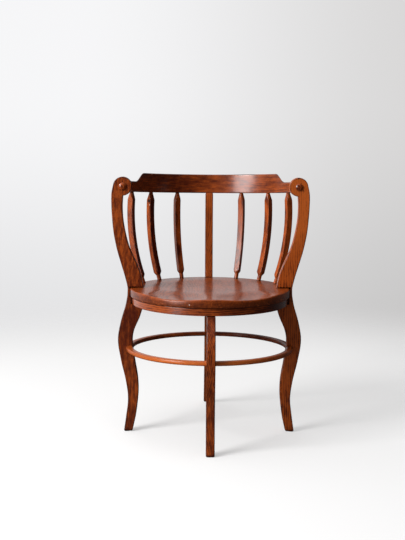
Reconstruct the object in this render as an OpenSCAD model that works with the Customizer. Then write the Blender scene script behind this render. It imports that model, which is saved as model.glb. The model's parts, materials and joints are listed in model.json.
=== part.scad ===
// Round-seat barrel-back armchair in stained and varnished oak.
// Units are millimetres. +Z is up, the sitter faces -Y, and X is the width.
// The chair is built on one vertical axis: the seat, the apron, the hoop
// stretcher and the crest rail are all rings about it, and four sawn boards
// stand round it at the left, right, front and back. The modules draw every
// piece about that axis, and place() then moves it along Y, so that the origin
// is on the floor at the middle of the whole chair's width and depth.

/* [Seat] */
// Radius of the round seat
seat_r = 240; // [210:1:290]
// Height of the flat rim of the seat above the floor
seat_h = 445.5; // [380:0.5:540]
// Thickness of the seat board at its rim
seat_t = 25; // [18:0.5:26]
// Radius of the rounding at the seat's edge
seat_edge_r = 4; // [2:0.5:6]
// Depth of the middle dish below the rim
dish_depth = 8; // [4:0.5:9]
// Width of the flat rim behind the middle dish
rim_back_w = 65; // [58:1:80]
// Width of the flat rim at the sides of the middle dish
rim_side_w = 74.5; // [60:0.5:90]
// Depth of the two thigh hollows below the rim
hollow_depth = 8; // [6:0.5:12]
// Radius of the mouth of a thigh hollow
hollow_mouth_r = 102; // [100:1:135]
// How far each thigh hollow's middle is to the side of the seat's middle
hollow_side = 84; // [70:1:100]
// How far behind the seat's front edge the thigh hollows' middles are
hollow_back = 91; // [75:1:110]

/* [Apron ring] */
// Height of the bent apron ring under the seat
apron_h = 22; // [18:0.5:35]
// Thickness of the apron ring
apron_t = 18; // [16:0.5:21]
// How far the seat's edge overhangs the apron ring
apron_inset = 6; // [3:0.5:10]

/* [Boards] */
// Thickness of the sawn boards that make the legs and arms
board_t = 25; // [20:0.5:30]
// How far a board stands outside the seat's edge, at seat level
strip_w = 8; // [6:0.5:12]
// How far the knee's outer edge stands beyond the seat's edge
knee_out = 38; // [28:1:45]
// Width of the leg at the knee
knee_w = 44; // [36:0.5:50]
// Width of the leg at the ankle
ankle_w = 32; // [24:0.5:36]
// How far the foot's outer edge stands beyond the seat's edge
foot_out = 21; // [12:1:34]
// Width of the leg at the floor
foot_w = 26; // [20:0.5:32]
// How far the arm's outer edge stands beyond the seat's edge
arm_out = 56; // [48:1:66]
// Width of the arm at its narrowest
arm_w = 33; // [28:0.5:38]
// How far an arm's shoulder reaches in over the seat's rim
shoulder_in = 40; // [30:1:46]
// Extra distance that the back foot is raked backwards
back_rake = 91; // [40:1:110]

/* [Crest] */
// Height of the scroll heads' centres above the seat
scroll_rise = 304; // [250:1:380]
// Radius of the round scroll heads
scroll_r = 28; // [24:0.5:32]
// How far the middle of the crest rail's thickness is outside the seat's edge
rail_out = 22.5; // [16:0.5:30]
// Thickness of the crest rail
rail_t = 20; // [18:0.5:26]
// Height of the rail in its raised middle
rail_mid_h = 60; // [45:1:80]
// Height of the rail at its low ends
rail_end_h = 33; // [28:1:42]
// Distance from the rail's side to the foot of its sloping shoulder
rail_shoulder_foot = 35.5; // [28:0.5:42]
// Distance from the rail's side to the top of its sloping shoulder
rail_shoulder_top = 51.5; // [46:0.5:70]
// Backward slope of the rail, in degrees
rail_tilt = 3.5; // [0:0.1:5]
// Diameter of the round wooden buttons
button_d = 22.5; // [16:0.5:26]
// How far a button's dome stands out
button_rise = 7; // [4:0.5:9]

/* [Spindles] */
// Side of a spindle's square section
spindle_w = 18; // [14:0.5:19]
// Diameter of the round tenon at the seat
foot_tenon_d = 13; // [11:0.5:15]
// Diameter of the neck that enters the rail
neck_d = 12; // [9:0.5:13]
// How far inside the seat's edge the middles of the spindles' feet stand
spindle_foot_in = 19; // [16:0.5:24]
// How far outwards a spindle bows in the middle of its length
spindle_bow = 18.5; // [12:0.5:22]
// Angle from the centre post to the first spindle, in degrees
spindle_first = 23.3; // [20:0.1:25]
// Angle between neighbouring spindles, in degrees
spindle_step = 22; // [19:0.5:23]
// Height of the bare tenon between the seat and a spindle's shoulder
tenon_show = 17; // [10:1:26]
// Length of the tapered neck below the rail
neck_l = 28; // [18:1:36]
// Depth of a tenon in its hole
tenon_depth = 14; // [10:0.5:15]

/* [Hoop stretcher] */
// Height of the hoop's centre above the floor
hoop_z = 261; // [200:1:290]
// How far the middle of the hoop's section is outside the seat's edge
hoop_out = 2.5; // [0:0.5:5]
// Radial width of the hoop's section
hoop_w = 20; // [16:0.5:22]
// Height of the hoop's section
hoop_h = 13; // [11:0.5:18]
// Rounding of the hoop's section
hoop_round = 4.5; // [3:0.5:5]
// Backward slope of the hoop, in degrees
hoop_tilt = 1.3; // [0:0.1:2]

/* [Fasteners] */
// Diameter of the wood screws' shanks
screw_d = 4.5; // [3.5:0.1:5]
// Diameter of the wood screws' heads
screw_head_d = 8.5; // [7.5:0.1:9]
// Clearance round a part that is let into another
fit_gap = 0.2; // [0.1:0.05:0.3]

/* [Hidden] */

$fn = 96;
eps = 0.01;
curve_steps = 5;

oak = "sienna";
oak_dark = "saddlebrown";
oak_light = "peru";
iron = "dimgray";

// Heights
seat_under = seat_h - seat_t;
apron_bottom = seat_under - apron_h;
leg_h = apron_bottom;
scroll_z = seat_h + scroll_rise;

// Radii of the rings, and the distance inside the seat's edge at which the
// boards' tongues end behind the apron ring
apron_ro = seat_r - apron_inset;
apron_ri = apron_ro - apron_t;
hoop_r = seat_r + hoop_out;
rail_r = seat_r + rail_out;
tongue_in = shoulder_in + 1;

// The rail turns about the line where its middle height meets the scrolls
rail_pivot_y = board_t / 2;
rail_low = scroll_z - rail_end_h / 2;

// Spindles: an arc in the upright plane that holds the chair's axis
spindle_foot_r = seat_r - spindle_foot_in;
spindle_top_r = rail_r - 1.5;
spindle_angles = [
    for (k = [-3, -2, -1, 1, 2, 3])
        sign(k) * (spindle_first + (abs(k) - 1) * spindle_step)
];
shoulder_l = 12;
foot_l = tenon_show + shoulder_l;
neck_bare = 2;
root_lap = 1;

// Screws. A bite is how far a screw goes into the second of its two pieces.
screw_tip = 3;
screw_head_h = 3;
head_slope = (screw_head_d - screw_d) / screw_head_h;
plug_depth = 8;
plug_d = 11;
leg_bite = 12;
hoop_bite = 13;
seat_bite = 7;
crest_bite = 29;
leg_screw_l = tongue_in - apron_inset - apron_t + leg_bite;
hoop_screw_l = hoop_w + hoop_bite;
seat_screw_l = apron_h + seat_bite;
crest_screw_l = board_t - plug_depth + crest_bite;

// A smooth curve through stations [along, across]: Hermite pieces whose
// slopes come from the neighbouring stations.
function slope_at(p, i) =
    let (a = p[max(i - 1, 0)], b = p[min(i + 1, len(p) - 1)])
    (b[1] - a[1]) / (b[0] - a[0]);
function hermite(p, i, t) =
    let (
        a = p[i], b = p[i + 1], h = b[0] - a[0],
        t2 = t * t, t3 = t2 * t
    )
    (2 * t3 - 3 * t2 + 1) * a[1] + (t3 - 2 * t2 + t) * h * slope_at(p, i)
    + (3 * t2 - 2 * t3) * b[1] + (t3 - t2) * h * slope_at(p, i + 1);
function smooth(p) = concat(
    [for (i = [0 : len(p) - 2], s = [0 : curve_steps - 1])
        let (t = s / curve_steps)
        [hermite(p, i, t), p[i][0] + t * (p[i + 1][0] - p[i][0])]],
    [[p[len(p) - 1][1], p[len(p) - 1][0]]]
);
function reversed(p) = [for (i = [len(p) - 1 : -1 : 0]) p[i]];

// Stations are [height, distance from the chair's axis].
ankle_out = strip_w;
leg_outer = [
    [0, seat_r + foot_out],
    [0.12 * leg_h, seat_r + (foot_out + ankle_out) / 2 - 0.5],
    [0.26 * leg_h, seat_r + ankle_out],
    [0.40 * leg_h, seat_r + ankle_out + 0.22 * (knee_out - ankle_out)],
    [0.56 * leg_h, seat_r + ankle_out + 0.70 * (knee_out - ankle_out)],
    [0.72 * leg_h, seat_r + knee_out]
];
leg_inner = [
    [0, seat_r + foot_out - foot_w],
    [0.13 * leg_h, seat_r + (foot_out + ankle_out) / 2 - 1.5 - (foot_w + ankle_w) / 2],
    [0.30 * leg_h, seat_r + ankle_out + 0.5 - ankle_w],
    [0.42 * leg_h, seat_r + ankle_out + 2 - ankle_w],
    [0.56 * leg_h, seat_r + knee_out - 7 - knee_w],
    [0.71 * leg_h, seat_r + knee_out - knee_w],
    [0.79 * leg_h, seat_r + knee_out - knee_w - 5],
    [0.90 * leg_h, seat_r - 0.72 * tongue_in],
    [leg_h, seat_r - tongue_in]
];

// The arm's edges, from the knee or the seat up to the scroll head.
arm_gain = arm_out - strip_w;
tangent_a = 15;
arm_outer = [
    [0.86 * leg_h, seat_r + strip_w + 0.70 * (knee_out - strip_w)],
    [leg_h, seat_r + strip_w + 5],
    [seat_h - 5, seat_r + strip_w],
    [seat_h + 0.10 * scroll_rise, seat_r + strip_w + 0.15 * arm_gain],
    [seat_h + 0.22 * scroll_rise, seat_r + strip_w + 0.37 * arm_gain],
    [seat_h + 0.38 * scroll_rise, seat_r + strip_w + 0.66 * arm_gain],
    [seat_h + 0.54 * scroll_rise, seat_r + strip_w + 0.86 * arm_gain],
    [seat_h + 0.70 * scroll_rise, seat_r + strip_w + 0.96 * arm_gain],
    [seat_h + 0.84 * scroll_rise, seat_r + arm_out],
    [scroll_z - 0.7 * scroll_r, seat_r + arm_out - 0.8],
    [scroll_z + scroll_r * sin(tangent_a), rail_r + scroll_r * cos(tangent_a)]
];
arm_inner = [
    [seat_h, seat_r - shoulder_in],
    [seat_h + 0.14 * scroll_rise, seat_r - 0.75 * shoulder_in],
    [seat_h + 0.23 * scroll_rise, seat_r - 0.50 * shoulder_in],
    [seat_h + 0.39 * scroll_rise, seat_r + arm_out - arm_w - 21.5],
    [seat_h + 0.50 * scroll_rise, seat_r + arm_out - arm_w - 11.5],
    [seat_h + 0.66 * scroll_rise, seat_r + arm_out - arm_w - 2.5],
    [seat_h + 0.80 * scroll_rise, seat_r + arm_out - arm_w],
    [scroll_z - scroll_r + 3, rail_r - 1.5]
];

// The front leg draws in at its top, to finish just behind the apron's face.
front_face_in = 3;
front_top = [
    [0.86 * leg_h, seat_r + 0.60 * knee_out],
    [0.95 * leg_h, apron_ro + 0.15 * knee_out],
    [leg_h, apron_ro - front_face_in]
];

// The back leg follows a sabre line of its own to the raked foot, and its
// post leans back to the rail.
post_in = 16;
rail_slope = tan(rail_tilt);
post_top = rail_low - (rail_r - rail_pivot_y) * rail_slope;
post_rise = post_top - seat_h;
post_lean = rail_r - rail_t / 2 - seat_r;
post_over = 3;
back_outer = [
    [0, seat_r + foot_out + back_rake],
    [0.12 * leg_h, seat_r + foot_out + 0.70 * back_rake],
    [0.28 * leg_h, seat_r + foot_out + 0.37 * back_rake],
    [0.45 * leg_h, seat_r + foot_out + 0.17 * back_rake],
    [0.63 * leg_h, seat_r + knee_out],
    [0.80 * leg_h, seat_r + strip_w + 0.78 * (knee_out - strip_w)],
    [leg_h, seat_r + strip_w + 5],
    [seat_h, seat_r + strip_w],
    [seat_h + 0.12 * post_rise, seat_r + strip_w + 9],
    [seat_h + 0.35 * post_rise, seat_r + strip_w + 21],
    [seat_h + 0.62 * post_rise, seat_r + post_lean + rail_t + 1],
    [post_top + post_over, seat_r + post_lean + rail_t]
];
back_inner = [
    [0, seat_r + foot_out - foot_w + back_rake],
    [0.12 * leg_h, seat_r + foot_out - foot_w - 3 + 0.70 * back_rake],
    [0.28 * leg_h, seat_r + foot_out - foot_w - 7 + 0.37 * back_rake],
    [0.45 * leg_h, seat_r + foot_out - foot_w - 13 + 0.17 * back_rake],
    [0.63 * leg_h, seat_r + knee_out - knee_w + 1],
    [0.80 * leg_h, seat_r + knee_out - knee_w - 8],
    [0.90 * leg_h, seat_r - 0.70 * tongue_in],
    [leg_h, seat_r - tongue_in]
];
post_front = [
    [seat_h, seat_r - post_in],
    [seat_h + 0.12 * post_rise, seat_r - 0.5 * post_in],
    [seat_h + 0.35 * post_rise, seat_r + 0.25 * post_lean],
    [seat_h + 0.62 * post_rise, seat_r + post_lean],
    [post_top + post_over, seat_r + post_lean]
];
post_tenon = [board_t - 11, rail_t - 10, 12];

// ---- Rings about the chair's axis -----------------------------------------

module ring(r_in, r_out, z0, z1) {
    difference() {
        translate([0, 0, z0]) cylinder(r = r_out, h = z1 - z0, $fn = 180);
        translate([0, 0, z0 - 1]) cylinder(r = r_in, h = z1 - z0 + 2, $fn = 180);
    }
}

module hoop_section(grow) {
    w = hoop_w / 2 + grow;
    h = hoop_h / 2 + grow;
    for (sx = [-1, 1], sz = [-1, 1])
        translate([hoop_r + sx * (w - hoop_round), sz * (h - hoop_round)])
            circle(r = hoop_round, $fn = 24);
    translate([hoop_r - w, -(h - hoop_round)])
        square([2 * w, 2 * (h - hoop_round)]);
    translate([hoop_r - (w - hoop_round), -h])
        square([2 * (w - hoop_round), 2 * h]);
}

module place_hoop() {
    translate([0, 0, hoop_z]) rotate([-hoop_tilt, 0, 0]) children();
}

// The space that the hoop takes up, with its clearance. It runs on inwards, so
// that every board's notch is open on its inner side.
module hoop_space() {
    place_hoop() ring(
        hoop_r - 1.5 * hoop_w, hoop_r + hoop_w / 2 + fit_gap,
        -hoop_h / 2 - fit_gap, hoop_h / 2 + fit_gap
    );
}

// ---- Fasteners ------------------------------------------------------------

// A countersunk wood screw along +Z, with its head's top at the origin.
module wood_screw(l) {
    translate([0, 0, screw_head_h])
        cylinder(d = screw_d, h = l - screw_head_h - screw_tip, $fn = 32);
    cylinder(d1 = screw_head_d, d2 = screw_d, h = screw_head_h, $fn = 32);
    translate([0, 0, l - screw_tip])
        cylinder(d1 = screw_d, d2 = 1, h = screw_tip, $fn = 32);
}

// The hole for such a screw.
module screw_hole(l) {
    translate([0, 0, -1])
        cylinder(d = screw_d + 2 * fit_gap, h = l + 1 + fit_gap, $fn = 32);
    translate([0, 0, -1])
        cylinder(
            d1 = screw_head_d + 2 * fit_gap + head_slope,
            d2 = screw_d + 2 * fit_gap, h = screw_head_h + 1, $fn = 32
        );
}

// Four screws or holes outwards through the tongues, one to each board.
module at_leg_screws() {
    for (a = [0 : 90 : 270])
        rotate([0, 0, a])
            translate([seat_r - tongue_in, 0, (apron_bottom + seat_under) / 2])
                rotate([0, 90, 0]) children();
}

// Four screws or holes outwards through the hoop, one to each board.
module at_hoop_screws() {
    place_hoop()
        for (a = [0 : 90 : 270])
            rotate([0, 0, a])
                translate([hoop_r - hoop_w / 2, 0, 0])
                    rotate([0, 90, 0]) children();
}

// Four screws or holes upwards through the apron ring into the seat. The two
// at the back stand between the spindles' tenons.
module at_seat_screws() {
    back = spindle_first + spindle_step / 2;
    for (a = [-135, -back, back, 135])
        rotate([0, 0, 90 - a])
            translate([(apron_ro + apron_ri) / 2, 0, apron_bottom]) children();
}

// Two screws or holes backwards through the scroll heads into the rail.
module at_crest_screws() {
    for (side = [-1, 1])
        translate([side * rail_r, plug_depth - board_t / 2, scroll_z])
            rotate([-90, 0, 0]) children();
}

// ---- Seat and apron -------------------------------------------------------

// A shallow spherical cut of the given depth and mouth radius.
module dish(x, y, mouth, depth) {
    r = (mouth * mouth + depth * depth) / (2 * depth);
    translate([x, y, seat_h - depth + r]) sphere(r = r, $fn = 180);
}

module seat_blank() {
    rotate_extrude($fn = 180) {
        square([seat_r - seat_edge_r, seat_t]);
        translate([0, seat_edge_r]) square([seat_r, seat_t - 2 * seat_edge_r]);
        for (z = [seat_edge_r, seat_t - seat_edge_r])
            translate([seat_r - seat_edge_r, z]) circle(r = seat_edge_r, $fn = 32);
    }
}

module seat() {
    color(oak_light) difference() {
        translate([0, 0, seat_under]) seat_blank();
        dish(0, rim_side_w - rim_back_w, seat_r - rim_side_w, dish_depth);
        for (side = [-1, 1])
            dish(side * hollow_side, hollow_back - seat_r, hollow_mouth_r, hollow_depth);
        for (a = spindle_angles)
            at_spindle_foot(a) rotate([180, 0, 0])
                cylinder(d = foot_tenon_d + 2 * fit_gap, h = foot_l + tenon_depth + 1, $fn = 32);
        at_seat_screws() screw_hole(seat_screw_l);
    }
}

module apron_ring() {
    color(oak) difference() {
        ring(apron_ri, apron_ro, apron_bottom, seat_under);
        at_leg_screws() screw_hole(leg_screw_l);
        at_seat_screws() screw_hole(seat_screw_l);
    }
}

// ---- Boards ---------------------------------------------------------------

// The seat and the apron ring with their clearance, which the boards clear.
// Boards touch them only at flat faces: on the seat's top and underside and
// under the apron ring.
module seat_space() {
    ring(0, seat_r + fit_gap, seat_under, seat_h);
    ring(apron_ri - fit_gap, apron_ro + fit_gap, apron_bottom, seat_under);
}

// The area between two edge curves.
module outline(outer, inner) {
    polygon(concat(outer, reversed(inner)));
}

// The tongue that rises behind the apron ring to the seat's underside.
module tongue_outline() {
    translate([seat_r - tongue_in, leg_h - eps])
        square([tongue_in - apron_inset - apron_t / 2, apron_h + eps]);
}

// A board sawn to an outline, standing in the upright plane that holds the
// chair's axis and points to the given side, with all its joints cut.
module cut_board(turn) {
    difference() {
        rotate([90, 0, turn]) linear_extrude(height = board_t, center = true) children();
        seat_space();
        hoop_space();
        at_leg_screws() screw_hole(leg_screw_l);
        at_hoop_screws() screw_hole(hoop_screw_l);
    }
}

// A side leg and its arm, cut as one board from the foot to the scroll head.
module leg_arm(turn) {
    difference() {
        cut_board(turn) {
            outline(
                smooth(concat(leg_outer, arm_outer)),
                concat(smooth(leg_inner), smooth(arm_inner))
            );
            translate([rail_r, scroll_z]) circle(r = scroll_r, $fn = 64);
        }
        at_crest_screws() {
            translate([0, 0, -plug_depth - 1])
                cylinder(d = plug_d + 2 * fit_gap, h = plug_depth + 1, $fn = 32);
            screw_hole(crest_screw_l);
        }
    }
}

module right_leg_arm() {
    color(oak) leg_arm(0);
}

module left_leg_arm() {
    color(oak) leg_arm(180);
}

module front_leg() {
    color(oak_dark) cut_board(-90) {
        outline(smooth(concat(leg_outer, front_top)), smooth(leg_inner));
        tongue_outline();
    }
}

// The back leg and the centre post, cut as one board, with a tenon on top.
module back_leg_post() {
    color(oak_dark) {
        difference() {
            cut_board(90) outline(
                smooth(back_outer), concat(smooth(back_inner), smooth(post_front))
            );
            place_rail() translate([-board_t, 0, 0])
                cube([2 * board_t, 2 * rail_r, rail_mid_h]);
        }
        place_rail() post_tenon_block(0, post_over);
    }
}

// The post's tenon, or its mortise when it is grown by a clearance.
module post_tenon_block(grow, below) {
    size = [for (k = [0, 1]) post_tenon[k] + 2 * grow];
    translate([-size[0] / 2, rail_r - size[1] / 2, -below])
        cube([size[0], size[1], post_tenon[2] + grow + below]);
}

// ---- Hoop and rail --------------------------------------------------------

module hoop_stretcher() {
    color(oak) difference() {
        place_hoop() rotate_extrude($fn = 180) hoop_section(0);
        at_hoop_screws() screw_hole(hoop_screw_l);
    }
}

module place_rail() {
    translate([0, rail_pivot_y, rail_low])
        rotate([-rail_tilt, 0, 0])
            translate([0, -rail_pivot_y, 0]) children();
}

// Front view of the rail: a raised middle with sloping shoulders.
module rail_front() {
    e = rail_r + rail_t;
    polygon([
        [-e, 0], [e, 0], [e, rail_end_h],
        [rail_r - rail_shoulder_foot, rail_end_h],
        [rail_r - rail_shoulder_top, rail_mid_h],
        [rail_shoulder_top - rail_r, rail_mid_h],
        [rail_shoulder_foot - rail_r, rail_end_h],
        [-e, rail_end_h]
    ]);
}

module crest_rail() {
    color(oak) difference() {
        place_rail() intersection() {
            ring(rail_r - rail_t / 2, rail_r + rail_t / 2, 0, rail_mid_h);
            translate([0, 2 * rail_r, 0]) rotate([90, 0, 0])
                linear_extrude(height = 2 * rail_r) rail_front();
        }
        translate([-2 * rail_r, rail_pivot_y - 60, rail_low - 60])
            cube([4 * rail_r, 60, 200]);
        at_crest_screws() screw_hole(crest_screw_l);
        place_rail() post_tenon_block(fit_gap, 1);
        for (a = spindle_angles)
            at_spindle_neck(a)
                cylinder(d = neck_d + 2 * fit_gap, h = neck_l + tenon_depth + 1, $fn = 32);
    }
}

// ---- Spindles -------------------------------------------------------------

// Each spindle is bent to an arc in the upright plane at its own angle. The
// arc runs from the seat's top to the rail's underside, bowed outwards.
function rail_under(a) = rail_low - (spindle_top_r * cos(a) - rail_pivot_y) * rail_slope;
function chord(a) = norm([spindle_top_r - spindle_foot_r, rail_under(a) - seat_h]);
function bend_r(a) = (chord(a) * chord(a) / 4 + spindle_bow * spindle_bow) / (2 * spindle_bow);
function half_arc(a) = asin(chord(a) / 2 / bend_r(a));
function lean(a) = atan2(spindle_top_r - spindle_foot_r, rail_under(a) - seat_h);

// A place on a spindle's arc at some length of arc from the seat's top, with
// +Z along the arc. Both ends run on from such a place in a straight line.
module at_arc(a, along) {
    r = bend_r(a);
    rotate([0, 0, 90 - a]) translate([spindle_foot_r, 0, seat_h])
        rotate([0, lean(a) + half_arc(a), 0])
            translate([-r, 0, 0]) rotate([0, -along / r * 180 / PI, 0])
                translate([r, 0, 0]) children();
}
function arc_l(a) = bend_r(a) * 2 * half_arc(a) * PI / 180;
module at_spindle_foot(a) { at_arc(a, foot_l) children(); }
module at_spindle_neck(a) { at_arc(a, arc_l(a) - neck_l) children(); }

// The square bent stretch between the two straight ends.
module spindle_bend(a) {
    r = bend_r(a);
    at_spindle_foot(a) translate([-r, 0, 0]) rotate([90, 0, 0])
        rotate_extrude(angle = (arc_l(a) - foot_l - neck_l) / r * 180 / PI, $fn = 180)
            translate([r - spindle_w / 2, -spindle_w / 2]) square(spindle_w);
}

// A square block pointed like a pencil, from the origin to its tip at l. Its
// root laps a little into the bent stretch, just inside that stretch's sides.
module pencil_end(l, tip_d) {
    w = spindle_w - 2 * eps;
    slope = (1.5 * w - tip_d) / l;
    intersection() {
        translate([0, 0, -root_lap])
            cylinder(d1 = 1.5 * w + root_lap * slope, d2 = tip_d, h = l + root_lap, $fn = 48);
        translate([-w / 2, -w / 2, -root_lap]) cube([w, w, l + root_lap]);
    }
}

module spindle(a) {
    color(oak) {
        spindle_bend(a);
        at_spindle_foot(a) rotate([180, 0, 0]) {
            pencil_end(shoulder_l, foot_tenon_d);
            cylinder(d = foot_tenon_d, h = foot_l + tenon_depth, $fn = 32);
        }
        at_spindle_neck(a) {
            pencil_end(neck_l - neck_bare, neck_d);
            cylinder(d = neck_d, h = neck_l + tenon_depth, $fn = 32);
        }
    }
}

module spindle_1() { spindle(spindle_angles[0]); }
module spindle_2() { spindle(spindle_angles[1]); }
module spindle_3() { spindle(spindle_angles[2]); }
module spindle_4() { spindle(spindle_angles[3]); }
module spindle_5() { spindle(spindle_angles[4]); }
module spindle_6() { spindle(spindle_angles[5]); }

// ---- Buttons and screws ---------------------------------------------------

// A domed wooden button with a plug, standing on the scroll head's face.
module button(side) {
    r = (button_d * button_d / 4 + button_rise * button_rise) / (2 * button_rise);
    color(oak_light) translate([side * rail_r, -board_t / 2, scroll_z]) rotate([90, 0, 0]) {
        intersection() {
            translate([0, 0, button_rise - r]) sphere(r = r, $fn = 64);
            cylinder(d = 2 * button_d, h = 2 * button_rise, $fn = 64);
        }
        translate([0, 0, fit_gap - plug_depth])
            cylinder(d = plug_d, h = plug_depth - fit_gap + 1, $fn = 32);
    }
}

module left_button() { button(-1); }
module right_button() { button(1); }

module crest_screws() { color(iron) at_crest_screws() wood_screw(crest_screw_l); }
module leg_screws() { color(iron) at_leg_screws() wood_screw(leg_screw_l); }
module hoop_screws() { color(iron) at_hoop_screws() wood_screw(hoop_screw_l); }
module seat_screws() { color(iron) at_seat_screws() wood_screw(seat_screw_l); }

// Puts the chair's axis where the whole chair is centred on the origin.
module place() {
    translate([0, (knee_out - foot_out - back_rake) / 2, 0]) children();
}

place() seat();
place() apron_ring();
place() left_leg_arm();
place() right_leg_arm();
place() front_leg();
place() back_leg_post();
place() hoop_stretcher();
place() crest_rail();
place() spindle_1();
place() spindle_2();
place() spindle_3();
place() spindle_4();
place() spindle_5();
place() spindle_6();
place() left_button();
place() right_button();
place() crest_screws();
place() leg_screws();
place() hoop_screws();
place() seat_screws();
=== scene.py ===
"""A round-seat barrel-back armchair in stained and varnished oak.

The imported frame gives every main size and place. Each wooden sub-assembly is a
class that works its surfaces out with numpy and dresses them in a procedural
oak; the hidden screws keep the frame's own meshes under a steel finish.

Lengths are in metres in the frame's own axes: +Z is up and the sitter faces -Y.
Sizes that are easier to read in millimetres are written as, say, 22 * MM.
"""

from __future__ import annotations

import json
import logging
import math
from collections.abc import Callable
from dataclasses import dataclass, field
from enum import Enum

import bpy
import numpy as np
from mathutils import Matrix, Vector

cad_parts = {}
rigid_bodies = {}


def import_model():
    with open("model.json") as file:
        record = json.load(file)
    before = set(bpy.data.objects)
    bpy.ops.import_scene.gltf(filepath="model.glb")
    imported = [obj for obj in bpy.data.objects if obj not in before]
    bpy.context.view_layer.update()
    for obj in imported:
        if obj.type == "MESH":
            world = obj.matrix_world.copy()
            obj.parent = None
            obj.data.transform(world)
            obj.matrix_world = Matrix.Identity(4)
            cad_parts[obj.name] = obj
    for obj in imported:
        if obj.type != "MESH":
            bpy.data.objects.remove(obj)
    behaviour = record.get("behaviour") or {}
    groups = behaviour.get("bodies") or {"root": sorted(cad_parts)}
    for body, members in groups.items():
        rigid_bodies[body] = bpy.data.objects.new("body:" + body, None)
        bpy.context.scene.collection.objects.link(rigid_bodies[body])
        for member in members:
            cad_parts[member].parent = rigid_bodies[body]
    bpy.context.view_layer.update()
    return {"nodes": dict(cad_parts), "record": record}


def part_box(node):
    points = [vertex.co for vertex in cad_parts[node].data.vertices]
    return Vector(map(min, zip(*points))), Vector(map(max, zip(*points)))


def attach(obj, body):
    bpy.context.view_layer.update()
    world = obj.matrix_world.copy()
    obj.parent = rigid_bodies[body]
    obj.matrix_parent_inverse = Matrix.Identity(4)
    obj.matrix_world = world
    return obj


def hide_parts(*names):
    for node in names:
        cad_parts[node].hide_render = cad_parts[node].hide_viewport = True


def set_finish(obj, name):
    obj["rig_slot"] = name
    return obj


MM = 0.001
LOG = logging.getLogger("armchair")


# ---- The chair's plan, read from the frame --------------------------------


@dataclass(frozen=True)
class Plan:
    """The main sizes and places of the chair, in metres."""

    axis_y: float
    seat_r: float
    seat_top: float
    seat_under: float
    apron_ro: float
    apron_bottom: float
    board_t: float
    back_foot_out: float
    rail_r: float
    scroll_z: float
    hoop_outer_r: float
    hoop_z: float

    @classmethod
    def from_frame(cls) -> Plan:
        """Reads the plan from the boxes of the frame's nodes.

        Returns:
            The plan, with every radius measured from the chair's upright axis.
        """
        seat_lo, seat_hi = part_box("seat")
        apron_lo, apron_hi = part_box("apron_ring")
        front_lo, front_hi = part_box("front_leg")
        hoop_lo, hoop_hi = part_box("hoop_stretcher")
        button_lo, button_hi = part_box("right_button")
        axis_y = (seat_lo.y + seat_hi.y) / 2
        seat_r = (seat_hi.x - seat_lo.x) / 2
        return cls(
            axis_y=axis_y,
            seat_r=seat_r,
            seat_top=seat_hi.z,
            seat_under=seat_lo.z,
            apron_ro=(apron_hi.x - apron_lo.x) / 2,
            apron_bottom=apron_lo.z,
            board_t=front_hi.x - front_lo.x,
            back_foot_out=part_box("back_leg_post")[1].y - axis_y - seat_r,
            rail_r=(button_lo.x + button_hi.x) / 2,
            scroll_z=(button_lo.z + button_hi.z) / 2,
            hoop_outer_r=(hoop_hi.x - hoop_lo.x) / 2,
            hoop_z=(hoop_lo.z + hoop_hi.z) / 2,
        )


# ---- Numbers and curves ---------------------------------------------------


def smooth_max(a: np.ndarray, b: np.ndarray | float, soft: float) -> np.ndarray:
    """The larger of two values, with the corner between them rounded off.

    Where the two differ by less than soft, a parabola of height soft / 4 is
    added, so that both value and slope run on without a step.
    """
    near = np.maximum(soft - np.abs(a - b), 0.0) / soft
    return np.maximum(a, b) + near * near * soft / 4


def wander(t: np.ndarray, seed: int, period: float) -> np.ndarray:
    """A slow random wander between about -1 and 1 along t.

    It is the mean of four sine waves whose phases come from the seed and whose
    lengths are the period over 1, 1.7, 2.9 and 4.3.

    Args:
        t: places along the line, in metres.
        seed: seed of the phases.
        period: length of the longest wave, in metres.

    Returns:
        The wander at each place.
    """
    phases = np.random.default_rng(seed).uniform(0, 2 * math.pi, 4)
    rates = np.array([1.0, 1.7, 2.9, 4.3])
    waves = np.sin(2 * math.pi * t[..., None] / period * rates + phases)
    return (waves / rates**0.5).mean(axis=-1) * 1.6


def capped(rows: np.ndarray) -> np.ndarray:
    """Closes a tube of points: one more row at each end, drawn into its middle.

    Args:
        rows: points or other numbers, of shape (rows, columns, size).

    Returns:
        The rows with the two new ones.
    """
    ends = rows[[0, -1]]
    middles = np.broadcast_to(ends.mean(axis=1, keepdims=True), ends.shape)
    return np.concatenate([middles[:1], rows, middles[1:]])


@dataclass(frozen=True)
class EdgeCurve:
    """A smooth edge: the distance from the chair's axis as a function of height.

    Between two stations it is a cubic Hermite piece, whose end slopes are those
    of the chords through the neighbouring stations.
    """

    stations: tuple[tuple[float, float], ...]

    def at(self, height: np.ndarray) -> np.ndarray:
        """The distance from the axis at each height.

        Args:
            height: heights in metres above the floor.

        Returns:
            The distances, in metres.
        """
        z, r = np.array(self.stations, float).T
        slope = np.empty_like(r)
        slope[1:-1] = (r[2:] - r[:-2]) / (z[2:] - z[:-2])
        slope[0] = (r[1] - r[0]) / (z[1] - z[0])
        slope[-1] = (r[-1] - r[-2]) / (z[-1] - z[-2])
        i = np.clip(np.searchsorted(z, height, side="right") - 1, 0, len(z) - 2)
        h = z[i + 1] - z[i]
        t = (height - z[i]) / h
        t2, t3 = t * t, t * t * t
        return (
            (2 * t3 - 3 * t2 + 1) * r[i]
            + (t3 - 2 * t2 + t) * h * slope[i]
            + (3 * t2 - 2 * t3) * r[i + 1]
            + (t3 - t2) * h * slope[i + 1]
        )


# ---- Meshes ---------------------------------------------------------------


Field = float | Callable[[np.ndarray], np.ndarray]
MERGE_GRID = 0.002 * MM
SHARP_FROM = math.radians(42)


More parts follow.
